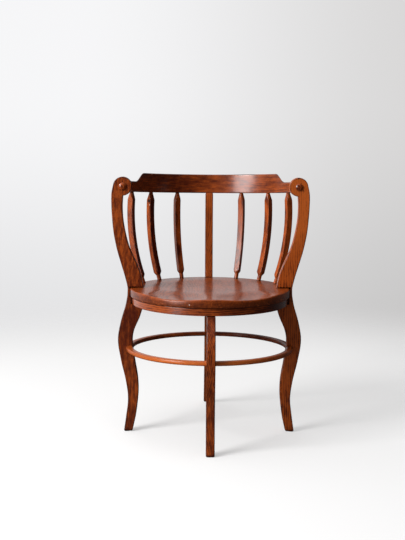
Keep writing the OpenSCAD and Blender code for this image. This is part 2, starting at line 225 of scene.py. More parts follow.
def add_object(name: str, data: bpy.types.ID) -> bpy.types.Object:
    """A new object in the scene.

    Args:
        name: the object's name.
        data: its mesh, lamp or camera.

    Returns:
        The new object.
    """
    made = bpy.data.objects.new(name, data)
    bpy.context.scene.collection.objects.link(made)
    return made


def store(mesh: bpy.types.Mesh, name: str, domain: str, values: np.ndarray) -> None:
    """Keeps one number or one vector for each point or corner of a mesh.

    Args:
        mesh: the mesh.
        name: the attribute's name.
        domain: POINT or CORNER.
        values: numbers, or vectors as rows.
    """
    kind, key = ("FLOAT_VECTOR", "vector") if values.ndim == 2 else ("FLOAT", "value")
    attribute = mesh.attributes.new(name, kind, domain)
    attribute.data.foreach_set(key, values.astype(np.float32).ravel())


@dataclass(frozen=True)
class ByHeight:
    """A value that changes along an upright piece, between stations (z, value)."""

    stations: tuple[tuple[float, float], ...]

    def __call__(self, points: np.ndarray) -> np.ndarray:
        """The value at each point."""
        z, value = np.array(self.stations).T
        return np.interp(points[:, 2], z, value)


@dataclass
class Shell:
    """A mesh gathered from closed grids, with the wood's own coordinates.

    The attribute "grain" holds, for each corner of each face, a place in the timber that the piece was
    cut or bent from: along the fibres, across them and through the thickness. The attribute "edge" is
    1 where a corner of the section is rounded and 0 on the flats. The attribute "tint" tells how the
    piece took the stain, and on some pieces it also holds painted light and shade: above 0 it is
    lighter and more orange than the rest, below 0 darker and redder. The attribute "gloss" multiplies
    the coat.
    """

    name: str
    timber_shift: tuple[float, float, float] = (0.0, 0.0, 0.0)
    tint: Field = 0.0
    gloss: Field = 1.0
    points: list[np.ndarray] = field(default_factory=list)
    quads: list[np.ndarray] = field(default_factory=list)
    grains: list[np.ndarray] = field(default_factory=list)
    edges: list[np.ndarray] = field(default_factory=list)
    count: int = 0

    def add_grid(
        self,
        places: np.ndarray,
        grain: np.ndarray,
        edge: np.ndarray,
        wrap_u: bool = False,
        wrap_v: bool = True,
    ) -> None:
        """Adds one closed skin.

        Args:
            places: points, of shape (rows, columns, 3).
            grain: timber coordinates, shaped as places. Where they run on past
                the seam of a direction that wraps, they have one more row or
                column, so that no pattern is smeared.
            edge: how much each point is on a rounded edge, shaped as places.
            wrap_u: whether the last row joins the first.
            wrap_v: whether the last column joins the first.
        """
        rows, cols = places.shape[:2]
        u = np.arange(rows if wrap_u else rows - 1)
        v = np.arange(cols if wrap_v else cols - 1)
        uu, vv = (a.ravel() for a in np.meshgrid(u, v, indexing="ij"))
        u1, v1 = uu + 1, vv + 1
        corners = [(uu, vv), (u1, vv), (u1, v1), (uu, v1)]
        index = [(a % rows) * cols + b % cols for a, b in corners]
        quads = np.stack(index, axis=1)
        grains = np.stack([grain[a % grain.shape[0], b % grain.shape[1]] for a, b in corners], axis=1)
        edges = np.stack([edge[a % rows, b % cols] for a, b in corners], axis=1)
        flat = places.reshape(-1, 3)
        a, b, c, d = (flat[quads[:, k]] for k in range(4))
        volume = np.einsum("ij,ij->", a, np.cross(b, c)) + np.einsum("ij,ij->", a, np.cross(c, d))
        if volume < 0:
            quads, grains, edges = quads[:, ::-1], grains[:, ::-1], edges[:, ::-1]
        self.points.append(flat)
        self.quads.append(quads + self.count)
        self.grains.append(grains)
        self.edges.append(edges)
        self.count += len(flat)

    def make(self, *replaced: str, slot: str) -> bpy.types.Object:
        """Makes the piece, merges its poles and seams, and puts it in the frame.

        Args:
            replaced: the frame's nodes that this piece stands for.
            slot: the material slot that it takes its finish from.

        Returns:
            The new object.
        """
        points = np.concatenate(self.points)
        quads = np.concatenate(self.quads)
        grains = np.concatenate(self.grains) + np.array(self.timber_shift)
        edges = np.concatenate(self.edges)
        keys = np.round(points / MERGE_GRID).astype(np.int64)
        _, first, merged = np.unique(keys, axis=0, return_index=True, return_inverse=True)
        quads = merged.reshape(-1)[quads]
        keep_corner = quads != np.roll(quads, 1, axis=1)
        sides = keep_corner.sum(axis=1)
        keep_corner &= (sides >= 3)[:, None]
        totals = sides[sides >= 3]
        mesh = bpy.data.meshes.new(self.name)
        mesh.vertices.add(len(first))
        mesh.vertices.foreach_set("co", points[first].astype(np.float32).ravel())
        mesh.loops.add(int(totals.sum()))
        mesh.loops.foreach_set("vertex_index", quads[keep_corner].astype(np.int32))
        mesh.polygons.add(len(totals))
        starts = np.concatenate([[0], np.cumsum(totals)[:-1]]).astype(np.int32)
        mesh.polygons.foreach_set("loop_start", starts)
        mesh.polygons.foreach_set("use_smooth", np.ones(len(totals), bool))
        store(mesh, "grain", "CORNER", grains[keep_corner])
        store(mesh, "edge", "CORNER", edges[keep_corner])
        for key, value in (("tint", self.tint), ("gloss", self.gloss)):
            values = value(points[first]) if callable(value) else np.full(len(first), value)
            store(mesh, key, "POINT", values)
        mesh.update(calc_edges=True)
        mesh.validate()
        mesh.set_sharp_from_angle(angle=SHARP_FROM)
        piece = add_object(self.name, mesh)
        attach(piece, "root")
        if replaced:
            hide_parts(*replaced)
        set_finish(piece, slot)
        LOG.info("%s: %d faces", self.name, len(totals))
        return piece


@dataclass(frozen=True)
class Section:
    """A rounded rectangle as a closed loop of points.

    Each point is a share of the way from one side to the other, with its
    distance in from that side, its share of the thickness from -1 to 1 with
    its distance in from that face, and whether it is on a rounded edge.
    """

    side: np.ndarray
    side_in: np.ndarray
    face: np.ndarray
    face_in: np.ndarray
    edge: np.ndarray

    @classmethod
    def rounded(cls, arc_steps: int = 4, rim: float = 0.35, flat_steps: int = 2) -> Section:
        """Builds the loop for a rounding of one unit.

        Args:
            arc_steps: pieces in each quarter circle.
            rim: distance from each rounding to the next line on the flat, in
                roundings, which keeps the shading of the flats level.
            flat_steps: pieces in the rest of each flat.

        Returns:
            The section, whose distances are multiplied by the rounding.
        """
        rows: list[tuple[float, float, float, float, float]] = []
        turn = np.linspace(0, math.pi / 2, arc_steps + 1)
        flat = np.linspace(0, 1, flat_steps + 1)[1:-1]
        corners = ((0, -1), (1, -1), (1, 1), (0, 1))
        for (side, face), (next_side, next_face) in zip(corners, corners[1:] + corners[:1]):
            arc = [(1 - math.sin(a), 1 - math.cos(a)) for a in turn]
            before, after = (1 + rim, 0.0), (0.0, 1 + rim)
            if side != next_side:
                arc, before, after = arc[::-1], after, before
            rows.append((side, before[0], face, before[1], 0.0))
            rows.extend((side, side_in, face, face_in, 1.0) for side_in, face_in in arc)
            rows.append((side, after[0], face, after[1], 0.0))
            for share in flat:
                along = (side + (next_side - side) * share, face + (next_face - face) * share)
                rows.append((along[0], 0.0, along[1], 0.0, 0.0))
        columns = np.array(rows, float).T
        return cls(*columns)


def edge_normals(line: np.ndarray, turn: int) -> np.ndarray:
    """Mitred unit offsets of a plane line, all on the same side of it.

    At each point the two neighbouring pieces' normals n and m give the offset
    (n + m) / (1 + n.m), which moves both pieces by one unit.

    Args:
        line: points (r, z) along the edge, from its foot to its head.
        turn: 1 for the side of greater r on a rising edge, -1 for the other.

    Returns:
        The offset at each point, shaped as the line.
    """
    step = np.diff(line, axis=0)
    length = np.maximum(np.linalg.norm(step, axis=1, keepdims=True), 1e-9)
    normal = turn * np.stack([step[:, 1], -step[:, 0]], axis=1) / length
    before = np.concatenate([normal[:1], normal])
    after = np.concatenate([normal, normal[-1:]])
    both = before + after
    return both / np.maximum(1 + np.einsum("ij,ij->i", before, after), 0.3)[:, None]


def ring_places(plan: Plan, angle: np.ndarray, radius: np.ndarray, height: np.ndarray) -> np.ndarray:
    """Points round the chair's axis, at angles from straight back, in the frame.

    Args:
        plan: the chair's plan.
        angle: angles in radians.
        radius: distances from the axis.
        height: heights in metres above the floor.

    Returns:
        The points (x, y, z).
    """
    return np.stack(
        [radius * np.sin(angle), plan.axis_y + radius * np.cos(angle), height], axis=-1
    )


def tilted(y: np.ndarray, z: np.ndarray, tilt: float, about: tuple[float, float]) -> list[np.ndarray]:
    """Places (y, z) turned backwards about the line at the given place.

    Args:
        y: distances behind the line.
        z: heights above the line.
        tilt: the turn, in radians.
        about: the line's own y and z.

    Returns:
        The turned y and z.
    """
    c, s = math.cos(tilt), math.sin(tilt)
    return [about[0] + y * c + z * s, about[1] - y * s + z * c]


# ---- Seat and rings -------------------------------------------------------


@dataclass(frozen=True)
class Seat:
    """The round saddled seat, glued up from staves that run front to back."""

    plan: Plan
    edge_r: float = 4.0 * MM
    dish_depth: float = 8 * MM
    dish_mouth: float = 165.5 * MM
    dish_back: float = 9.5 * MM
    hollow_depth: float = 8 * MM
    hollow_mouth: float = 102 * MM
    hollow_side: float = 84 * MM
    hollow_front: float = 149 * MM
    ridge_soft: float = 5.0 * MM
    rim_soft: float = 1.6 * MM
    tint: float = -0.42
    # A painted highlight: the rounded nose is made paler at the left front, which faces the window
    # lamp.
    nose_highlight: float = 1.5
    nose_highlight_at: float = math.radians(-145)
    turns: int = 480
    edge_steps: int = 6
    top_steps: int = 84
    top_crowding: float = 0.8
    bottom_steps: int = 12

    def cut_depth(self, x: np.ndarray, y: np.ndarray) -> np.ndarray:
        """How far the saddled top lies below the flat rim.

        Each cut is a shallow bowl, depth * (1 - distance^2 / mouth^2). The top
        follows the deepest of the middle dish and the two thigh hollows, with
        the ridges between them and the line at the rim softened.

        Args:
            x: places to the right of the chair's axis.
            y: places behind the chair's axis.

        Returns:
            The depth at each place.
        """

        def bowl(cx: float, cy: float, mouth: float, depth: float) -> np.ndarray:
            """The depth of one bowl, which is below 0 outside its mouth."""
            return depth * (1 - ((x - cx) ** 2 + (y - cy) ** 2) / mouth**2)

        left = bowl(-self.hollow_side, -self.hollow_front, self.hollow_mouth, self.hollow_depth)
        right = bowl(self.hollow_side, -self.hollow_front, self.hollow_mouth, self.hollow_depth)
        dish = bowl(0.0, self.dish_back, self.dish_mouth, self.dish_depth)
        deepest = smooth_max(smooth_max(left, right, self.ridge_soft), dish, self.ridge_soft)
        return smooth_max(deepest, 0.0, self.rim_soft)

    def stain_and_light_at(self, points: np.ndarray) -> np.ndarray:
        """The stain, with a painted highlight along the rounded edge at the left front.

        Args:
            points: points in the frame.

        Returns:
            The tint at each point.
        """
        plan = self.plan
        dx, dy = points[:, 0], points[:, 1] - plan.axis_y
        out = np.hypot(dx, dy) - (plan.seat_r - self.edge_r)
        # Painted highlight: the nose at the left front, towards the window lamp, is made paler.
        nose = np.clip(out / (0.3 * self.edge_r), 0, 1) * np.clip(1.6 - 2 * out / self.edge_r, 0, 1)
        left_front = np.clip(np.cos(np.arctan2(dx, dy) - self.nose_highlight_at) * 2 - 0.9, 0, 1)
        above = points[:, 2] > plan.seat_under + 2 * self.edge_r
        return self.tint + self.nose_highlight * nose * left_front * above

    def build(self) -> bpy.types.Object:
        """Turns the profile round the axis: top, rounded edge, side, underside.

        Returns:
            The new object.
        """
        plan = self.plan
        angle = np.linspace(0, 2 * math.pi, self.turns + 1)
        a = angle[:-1, None]
        flat_r = plan.seat_r - self.edge_r
        bow = np.linspace(0, math.pi / 2, self.edge_steps + 1)
        share = np.linspace(0, 1, self.top_steps + 1) ** self.top_crowding
        top_r = np.broadcast_to(flat_r * share, (self.turns, len(share)))
        depth = self.cut_depth(top_r * np.sin(a), top_r * np.cos(a))
        lip = depth[:, -1:]
        top_z = plan.seat_top - depth
        nose_r = flat_r + self.edge_r * np.sin(bow[1:])
        nose_z = plan.seat_top - lip - self.edge_r * (1 - np.cos(bow[1:]))
        heel_z = plan.seat_under + self.edge_r * (1 - np.sin(bow))
        heel_r = flat_r + self.edge_r * np.cos(bow)
        under_r = flat_r * np.linspace(1, 0, self.bottom_steps + 1)[1:]
        side_z = (nose_z[:, -1:] + heel_z[0]) / 2
        ones = np.ones((self.turns, 1))
        radius = np.concatenate(
            [top_r, ones * nose_r, ones * plan.seat_r, ones * heel_r, ones * under_r], axis=1
        )
        height = np.concatenate(
            [top_z, nose_z, side_z, ones * heel_z, ones * plan.seat_under * np.ones(len(under_r))],
            axis=1,
        )
        edge = np.zeros(radius.shape)
        side = len(share) + self.edge_steps
        # The nose takes little of the edges' darkening, which leaves a painted highlight along it; the
        # side and the heel take all of it.
        edge[:, len(share) : side] = np.linspace(0.0, 0.25, self.edge_steps)
        edge[:, side : side + self.edge_steps + 2] = 1.0
        places = ring_places(plan, a, radius, height)
        grain = (places - np.array([0, plan.axis_y, plan.seat_top]))[..., [1, 0, 2]]
        shell = Shell("saddle_seat", (0.31, 0.02, 0.04), self.stain_and_light_at)
        shell.add_grid(places, grain, edge, wrap_u=True, wrap_v=False)
        return shell.make("seat", slot="oak_seat")


@dataclass(frozen=True)
class BentRing:
    """A ring bent from one strip: the apron or the hoop stretcher."""

    plan: Plan
    name: str
    node: str
    outer_r: float
    width: float
    low: float
    height: float
    rounding: float
    tilt: float = 0.0
    turns: int = 288
    shift: tuple[float, float, float] = (0.0, 0.0, 0.0)
    tint: float = 0.0
    # Painted light and shade round the ring: it is made lighter on the side that faces the window lamp
    # and darker on the side away from it.
    light_swing: float = 0.0
    lit_side_at: float = math.radians(-166)
    gloss: float = 1.0
    gloss_swing: float = 0.0

    def angle_of(self, points: np.ndarray) -> np.ndarray:
        """Each point's angle round the axis, from straight back."""
        return np.arctan2(points[:, 0], points[:, 1] - self.plan.axis_y)

    def stain_and_light_at(self, points: np.ndarray) -> np.ndarray:
        """The stain round the ring with painted light and shade: tint + swing * cos(angle - the lit
        side's angle).
        """
        return self.tint + self.light_swing * np.cos(self.angle_of(points) - self.lit_side_at)

    def gloss_at(self, points: np.ndarray) -> np.ndarray:
        """The coat round the ring, which is thinner by gloss_swing at the back."""
        return self.gloss * (1 - self.gloss_swing * (1 + np.cos(self.angle_of(points))) / 2)

    def build(self) -> bpy.types.Object:
        """Carries a rounded rectangle round the axis and tilts the ring backwards.

        The wood's fibres run round the ring, so the timber coordinate along
        them is the angle times the mean radius, with its seam at the back.

        Returns:
            The new object.
        """
        section = Section.rounded(arc_steps=5)
        middle_z = self.low + self.height / 2
        across = (section.side - 0.5) * self.width
        across += np.where(section.side < 0.5, 1, -1) * section.side_in * self.rounding
        up = section.face * self.height / 2 - section.face * section.face_in * self.rounding
        radius = self.outer_r - self.width / 2 + across
        angle = np.linspace(0, 2 * math.pi, self.turns + 1)
        a = angle[:-1, None]
        places = ring_places(self.plan, a, radius[None, :], np.broadcast_to(up, (self.turns, len(up))))
        x, y, z = np.moveaxis(places, -1, 0)
        centre = (self.plan.axis_y, middle_z)
        places = np.stack([x, *tilted(y - self.plan.axis_y, z, self.tilt, centre)], axis=-1)
        run = angle[:, None] * (self.outer_r - self.width / 2)
        grain = np.stack(np.broadcast_arrays(run, up, across), axis=-1)
        shell = Shell(self.name, self.shift, self.stain_and_light_at, self.gloss_at)
        shell.add_grid(places, grain, np.broadcast_to(section.edge, places.shape[:2]), wrap_u=True)
        return shell.make(self.node, slot="oak_bent")


# ---- Boards ---------------------------------------------------------------


class Side(Enum):
    """Where a board stands: its direction from the chair's axis."""

    LEFT = (-1.0, 0.0)
    RIGHT = (1.0, 0.0)
    FRONT = (0.0, -1.0)
    BACK = (0.0, 1.0)


@dataclass(frozen=True)
class BoardOutline:
    """The two long edges of a board, as matched points (r, z) from foot to head.

    The extra insets draw the section in at a rounded end. On a round head the
    two edges meet in one point.
    """

    inner: np.ndarray
    outer: np.ndarray
    inset: np.ndarray
    round_head: bool = False


@dataclass(frozen=True)
class Board:
    """One sawn board in the upright plane that holds the chair's axis."""

    plan: Plan
    side: Side
    rounding: float = 2.3 * MM
    end_rounding: float = 5.0 * MM
    sanding: float = 0.2
    sanding_l: tuple[float, float] = (0.21, 0.17)
    step: float = 4 * MM

    def rounded_end(self, count: int = 5) -> tuple[np.ndarray, np.ndarray]:
        """Distances from an end and the insets there, of a quarter circle."""
        turn = np.linspace(math.pi / 2, 0, count)
        return self.end_rounding * (1 - np.sin(turn)), self.end_rounding * (1 - np.cos(turn))

    def add_skin(self, shell: Shell, outline: BoardOutline, seed: int) -> None:
        """Carries the rounded section along the two edges and closes both ends.

        Across the board a point lies a share of the way from the inner to the
        outer edge, each moved inwards along its own mitred normal. The rounding
        wanders along each edge, as hand sanding leaves it. No point goes below
        the floor.

        Args:
            shell: the piece's mesh.
            outline: the board's two edges.
            seed: seed of the wander along the inner edge; the outer takes the next.
        """
        section = Section.rounded()
        inner, outer = outline.inner, outline.outer
        middle = (inner + outer) / 2
        inner_n = edge_normals(inner, 1)
        outer_n = edge_normals(outer, -1)
        if outline.round_head:
            inner_n[-1] = outer_n[-1] = (0.0, -1.0)
        steps = np.linalg.norm(np.diff(middle, axis=0), axis=1)
        along = np.concatenate([[0], np.cumsum(steps)])
        soft_in, soft_out = (
            self.rounding * (1 + self.sanding * wander(along, seed + k, period))
            for k, period in enumerate(self.sanding_l)
        )
        s = section.side[None, :, None]
        soft = soft_in[:, None] * (1 - section.side) + soft_out[:, None] * section.side
        move_in = (section.side_in * soft + outline.inset[:, None])[..., None]
        flat = (1 - s) * (inner[:, None] + move_in * inner_n[:, None])
        flat = flat + s * (outer[:, None] + move_in * outer_n[:, None])
        flat[..., 1] = np.maximum(flat[..., 1], 0.0)
        half = self.plan.board_t / 2 - outline.inset[:, None]
        depth = section.face * (half - section.face_in * soft)
        flat = capped(flat)
        depth = np.pad(depth, ((1, 1), (0, 0)))
        edge = np.broadcast_to(section.edge, depth.shape)
        dx, dy = self.side.value
        r, z = flat[..., 0], flat[..., 1]
        places = np.stack(
            [r * dx - depth * dy, self.plan.axis_y + r * dy + depth * dx, z], axis=-1
        )
        grain = np.stack([z, r - self.plan.seat_r, depth], axis=-1)
        shell.add_grid(places, grain, edge)

    def add_tongue(self, shell: Shell, sizes: BoardSizes, root: float = 3 * MM) -> None:
        """Adds the tongue that rises behind the apron ring to the seat.

        Args:
            shell: the piece's mesh.
            sizes: the boards' sizes.
            root: how deep the tongue starts below the apron's underside.
        """
        plan = self.plan
        reach, inset = self.rounded_end()
        z = np.concatenate([[plan.apron_bottom - root], plan.seat_under - reach[::-1]])
        insets = np.concatenate([[0.0], inset[::-1]])
        inner = np.stack([np.full(len(z), plan.seat_r - sizes.tongue_in), z], axis=1)
        apron_ri = plan.apron_ro - sizes.apron_t
        outer = np.stack([np.full(len(z), apron_ri - sizes.fit_gap), z], axis=1)
        self.add_skin(shell, BoardOutline(inner, outer, insets), seed=91)


@dataclass(frozen=True)
class BoardSizes:
    """The sizes that the four boards share, in metres."""

    strip_w: float = 8 * MM
    knee_out: float = 37.85 * MM
    knee_w: float = 44 * MM
    ankle_w: float = 32 * MM
    foot_out: float = 21 * MM
    foot_w: float = 26 * MM
    arm_out: float = 55.9 * MM
    arm_w: float = 33 * MM
    shoulder_in: float = 40 * MM
    scroll_r: float = 28 * MM
    scroll_turn: float = math.radians(15)
    apron_t: float = 18 * MM
    fit_gap: float = 0.2 * MM
    post_in: float = 16 * MM
    rail_t: float = 20 * MM

    @property
    def tongue_in(self) -> float:
        """How far inside the seat's edge the tongues end."""
        return self.shoulder_in + 1 * MM


@dataclass(frozen=True)
class LegEdges:
    """The edge curves of the cabriole legs and of the arms above them."""

    plan: Plan
    sizes: BoardSizes

    def leg_outer_stations(self) -> list[tuple[float, float]]:
        """Stations of the outer edge from the foot to the knee.

        Returns:
            The stations (height, distance from the axis).
        """
        p, s = self.plan, self.sizes
        h, r = p.apron_bottom, p.seat_r
        swell = s.knee_out - s.strip_w
        return [
            (0.0, r + s.foot_out),
            (0.12 * h, r + (s.foot_out + s.strip_w) / 2 - 0.5 * MM),
            (0.26 * h, r + s.strip_w),
            (0.40 * h, r + s.strip_w + 0.22 * swell),
            (0.56 * h, r + s.strip_w + 0.70 * swell),
            (0.72 * h, r + s.knee_out),
        ]

    def leg_inner(self) -> EdgeCurve:
        """The inner edge from the foot to the underside of the apron.

        Returns:
            The edge.
        """
        p, s = self.plan, self.sizes
        h, r = p.apron_bottom, p.seat_r
        knee_in = s.knee_out - s.knee_w
        return EdgeCurve((
            (0.0, r + s.foot_out - s.foot_w),
            (0.13 * h, r + (s.foot_out + s.strip_w - s.foot_w - s.ankle_w) / 2 - 1.5 * MM),
            (0.30 * h, r + s.strip_w + 0.5 * MM - s.ankle_w),
            (0.42 * h, r + s.strip_w + 2 * MM - s.ankle_w),
            (0.56 * h, r + knee_in - 7 * MM),
            (0.71 * h, r + knee_in),
            (0.79 * h, r + knee_in - 5 * MM),
            (0.90 * h, r - 0.72 * s.tongue_in),
            (h, r - s.tongue_in),
        ))

    def side_outer(self) -> EdgeCurve:
        """The outer edge of a side board, up to the scroll head.

        Returns:
            The edge.
        """
        p, s = self.plan, self.sizes
        h, r, top = p.apron_bottom, p.seat_r, p.seat_top
        rise = p.scroll_z - top
        gain = s.arm_out - s.strip_w
        shares = ((0.10, 0.15), (0.22, 0.37), (0.38, 0.66), (0.54, 0.86), (0.70, 0.96), (0.84, 1.0))
        turn = s.scroll_turn
        return EdgeCurve((
            *self.leg_outer_stations(),
            (0.86 * h, r + s.strip_w + 0.70 * (s.knee_out - s.strip_w)),
            (h, r + s.strip_w + 5 * MM),
            (top - 5 * MM, r + s.strip_w),
            *((top + a * rise, r + s.strip_w + b * gain) for a, b in shares),
            (p.scroll_z - 0.7 * s.scroll_r, r + s.arm_out - 0.8 * MM),
            (p.scroll_z + s.scroll_r * math.sin(turn), p.rail_r + s.scroll_r * math.cos(turn)),
        ))

    def arm_inner(self) -> EdgeCurve:
        """The inner edge of an arm, from the seat's rim to under the scroll.

        Returns:
            The edge.
        """
        p, s = self.plan, self.sizes
        r, top = p.seat_r, p.seat_top
        rise = p.scroll_z - top
        arm_in = s.arm_out - s.arm_w
        return EdgeCurve((
            (top, r - s.shoulder_in),
            (top + 0.14 * rise, r - 0.75 * s.shoulder_in),
            (top + 0.23 * rise, r - 0.50 * s.shoulder_in),
            (top + 0.39 * rise, r + arm_in - 21.5 * MM),
            (top + 0.50 * rise, r + arm_in - 11.5 * MM),
            (top + 0.66 * rise, r + arm_in - 2.5 * MM),
            (top + 0.80 * rise, r + arm_in),
            (p.scroll_z - s.scroll_r + 3 * MM, p.rail_r - 1.5 * MM),
        ))

    def front_outer(self, face_in: float = 3 * MM) -> EdgeCurve:
        """The front leg's outer edge, which draws in behind the apron's face.

        Args:
            face_in: how far behind the apron's face it ends.

        Returns:
            The edge.
        """
        p, s = self.plan, self.sizes
        h = p.apron_bottom
        return EdgeCurve((
            *self.leg_outer_stations(),
            (0.86 * h, p.seat_r + 0.60 * s.knee_out),
            (0.95 * h, p.apron_ro + 0.15 * s.knee_out),
            (h, p.apron_ro - face_in),
        ))

    def back_outer(self, post_top: float) -> EdgeCurve:
        """The back edge of the raked leg and of the post that leans to the rail.

        Args:
            post_top: height of the post's top.

        Returns:
            The edge.
        """
        p, s = self.plan, self.sizes
        h, r, top = p.apron_bottom, p.seat_r, p.seat_top
        rake = p.back_foot_out - s.foot_out
        rise = post_top - top
        back = p.rail_r + s.rail_t / 2
        return EdgeCurve((
            (0.0, r + s.foot_out + rake),
            (0.12 * h, r + s.foot_out + 0.70 * rake),
            (0.28 * h, r + s.foot_out + 0.37 * rake),
            (0.45 * h, r + s.foot_out + 0.17 * rake),
            (0.63 * h, r + s.knee_out),
            (0.80 * h, r + s.strip_w + 0.78 * (s.knee_out - s.strip_w)),
            (h, r + s.strip_w + 5 * MM),
            (top, r + s.strip_w),
            (top + 0.12 * rise, r + s.strip_w + 9 * MM),
            (top + 0.35 * rise, r + s.strip_w + 21 * MM),
            (top + 0.62 * rise, back + 1 * MM),
            (post_top + 3 * MM, back),
        ))

    def back_inner(self) -> EdgeCurve:
        """The front edge of the raked leg, up to the underside of the apron.

        Returns:
            The edge.
        """
        p, s = self.plan, self.sizes
        h = p.apron_bottom
        rake = p.back_foot_out - s.foot_out
        foot = p.seat_r + s.foot_out - s.foot_w
        knee = p.seat_r + s.knee_out - s.knee_w
        return EdgeCurve((
            (0.0, foot + rake),
            (0.12 * h, foot - 3 * MM + 0.70 * rake),
            (0.28 * h, foot - 7 * MM + 0.37 * rake),
            (0.45 * h, foot - 13 * MM + 0.17 * rake),
            (0.63 * h, knee + 1 * MM),
            (0.80 * h, knee - 8 * MM),
            (0.90 * h, p.seat_r - 0.70 * s.tongue_in),
            (h, p.seat_r - s.tongue_in),
        ))

    def post_front(self, post_top: float) -> EdgeCurve:
        """The front face of the centre post, from the seat's rim to the rail.

        Args:
            post_top: height of the post's top.

        Returns:
            The edge.
        """
        p, s = self.plan, self.sizes
        top = p.seat_top
        rise = post_top - top
        lean = p.rail_r - s.rail_t / 2 - p.seat_r
        return EdgeCurve((
            (top, p.seat_r - s.post_in),
            (top + 0.12 * rise, p.seat_r - 0.5 * s.post_in),
            (top + 0.35 * rise, p.seat_r + 0.25 * lean),
            (top + 0.62 * rise, p.seat_r + lean),
            (post_top + 3 * MM, p.seat_r + lean),
        ))


def line(curve: EdgeCurve, heights: np.ndarray) -> np.ndarray:
    """Points (r, z) on an edge curve."""
    return np.stack([curve.at(heights), heights], axis=1)


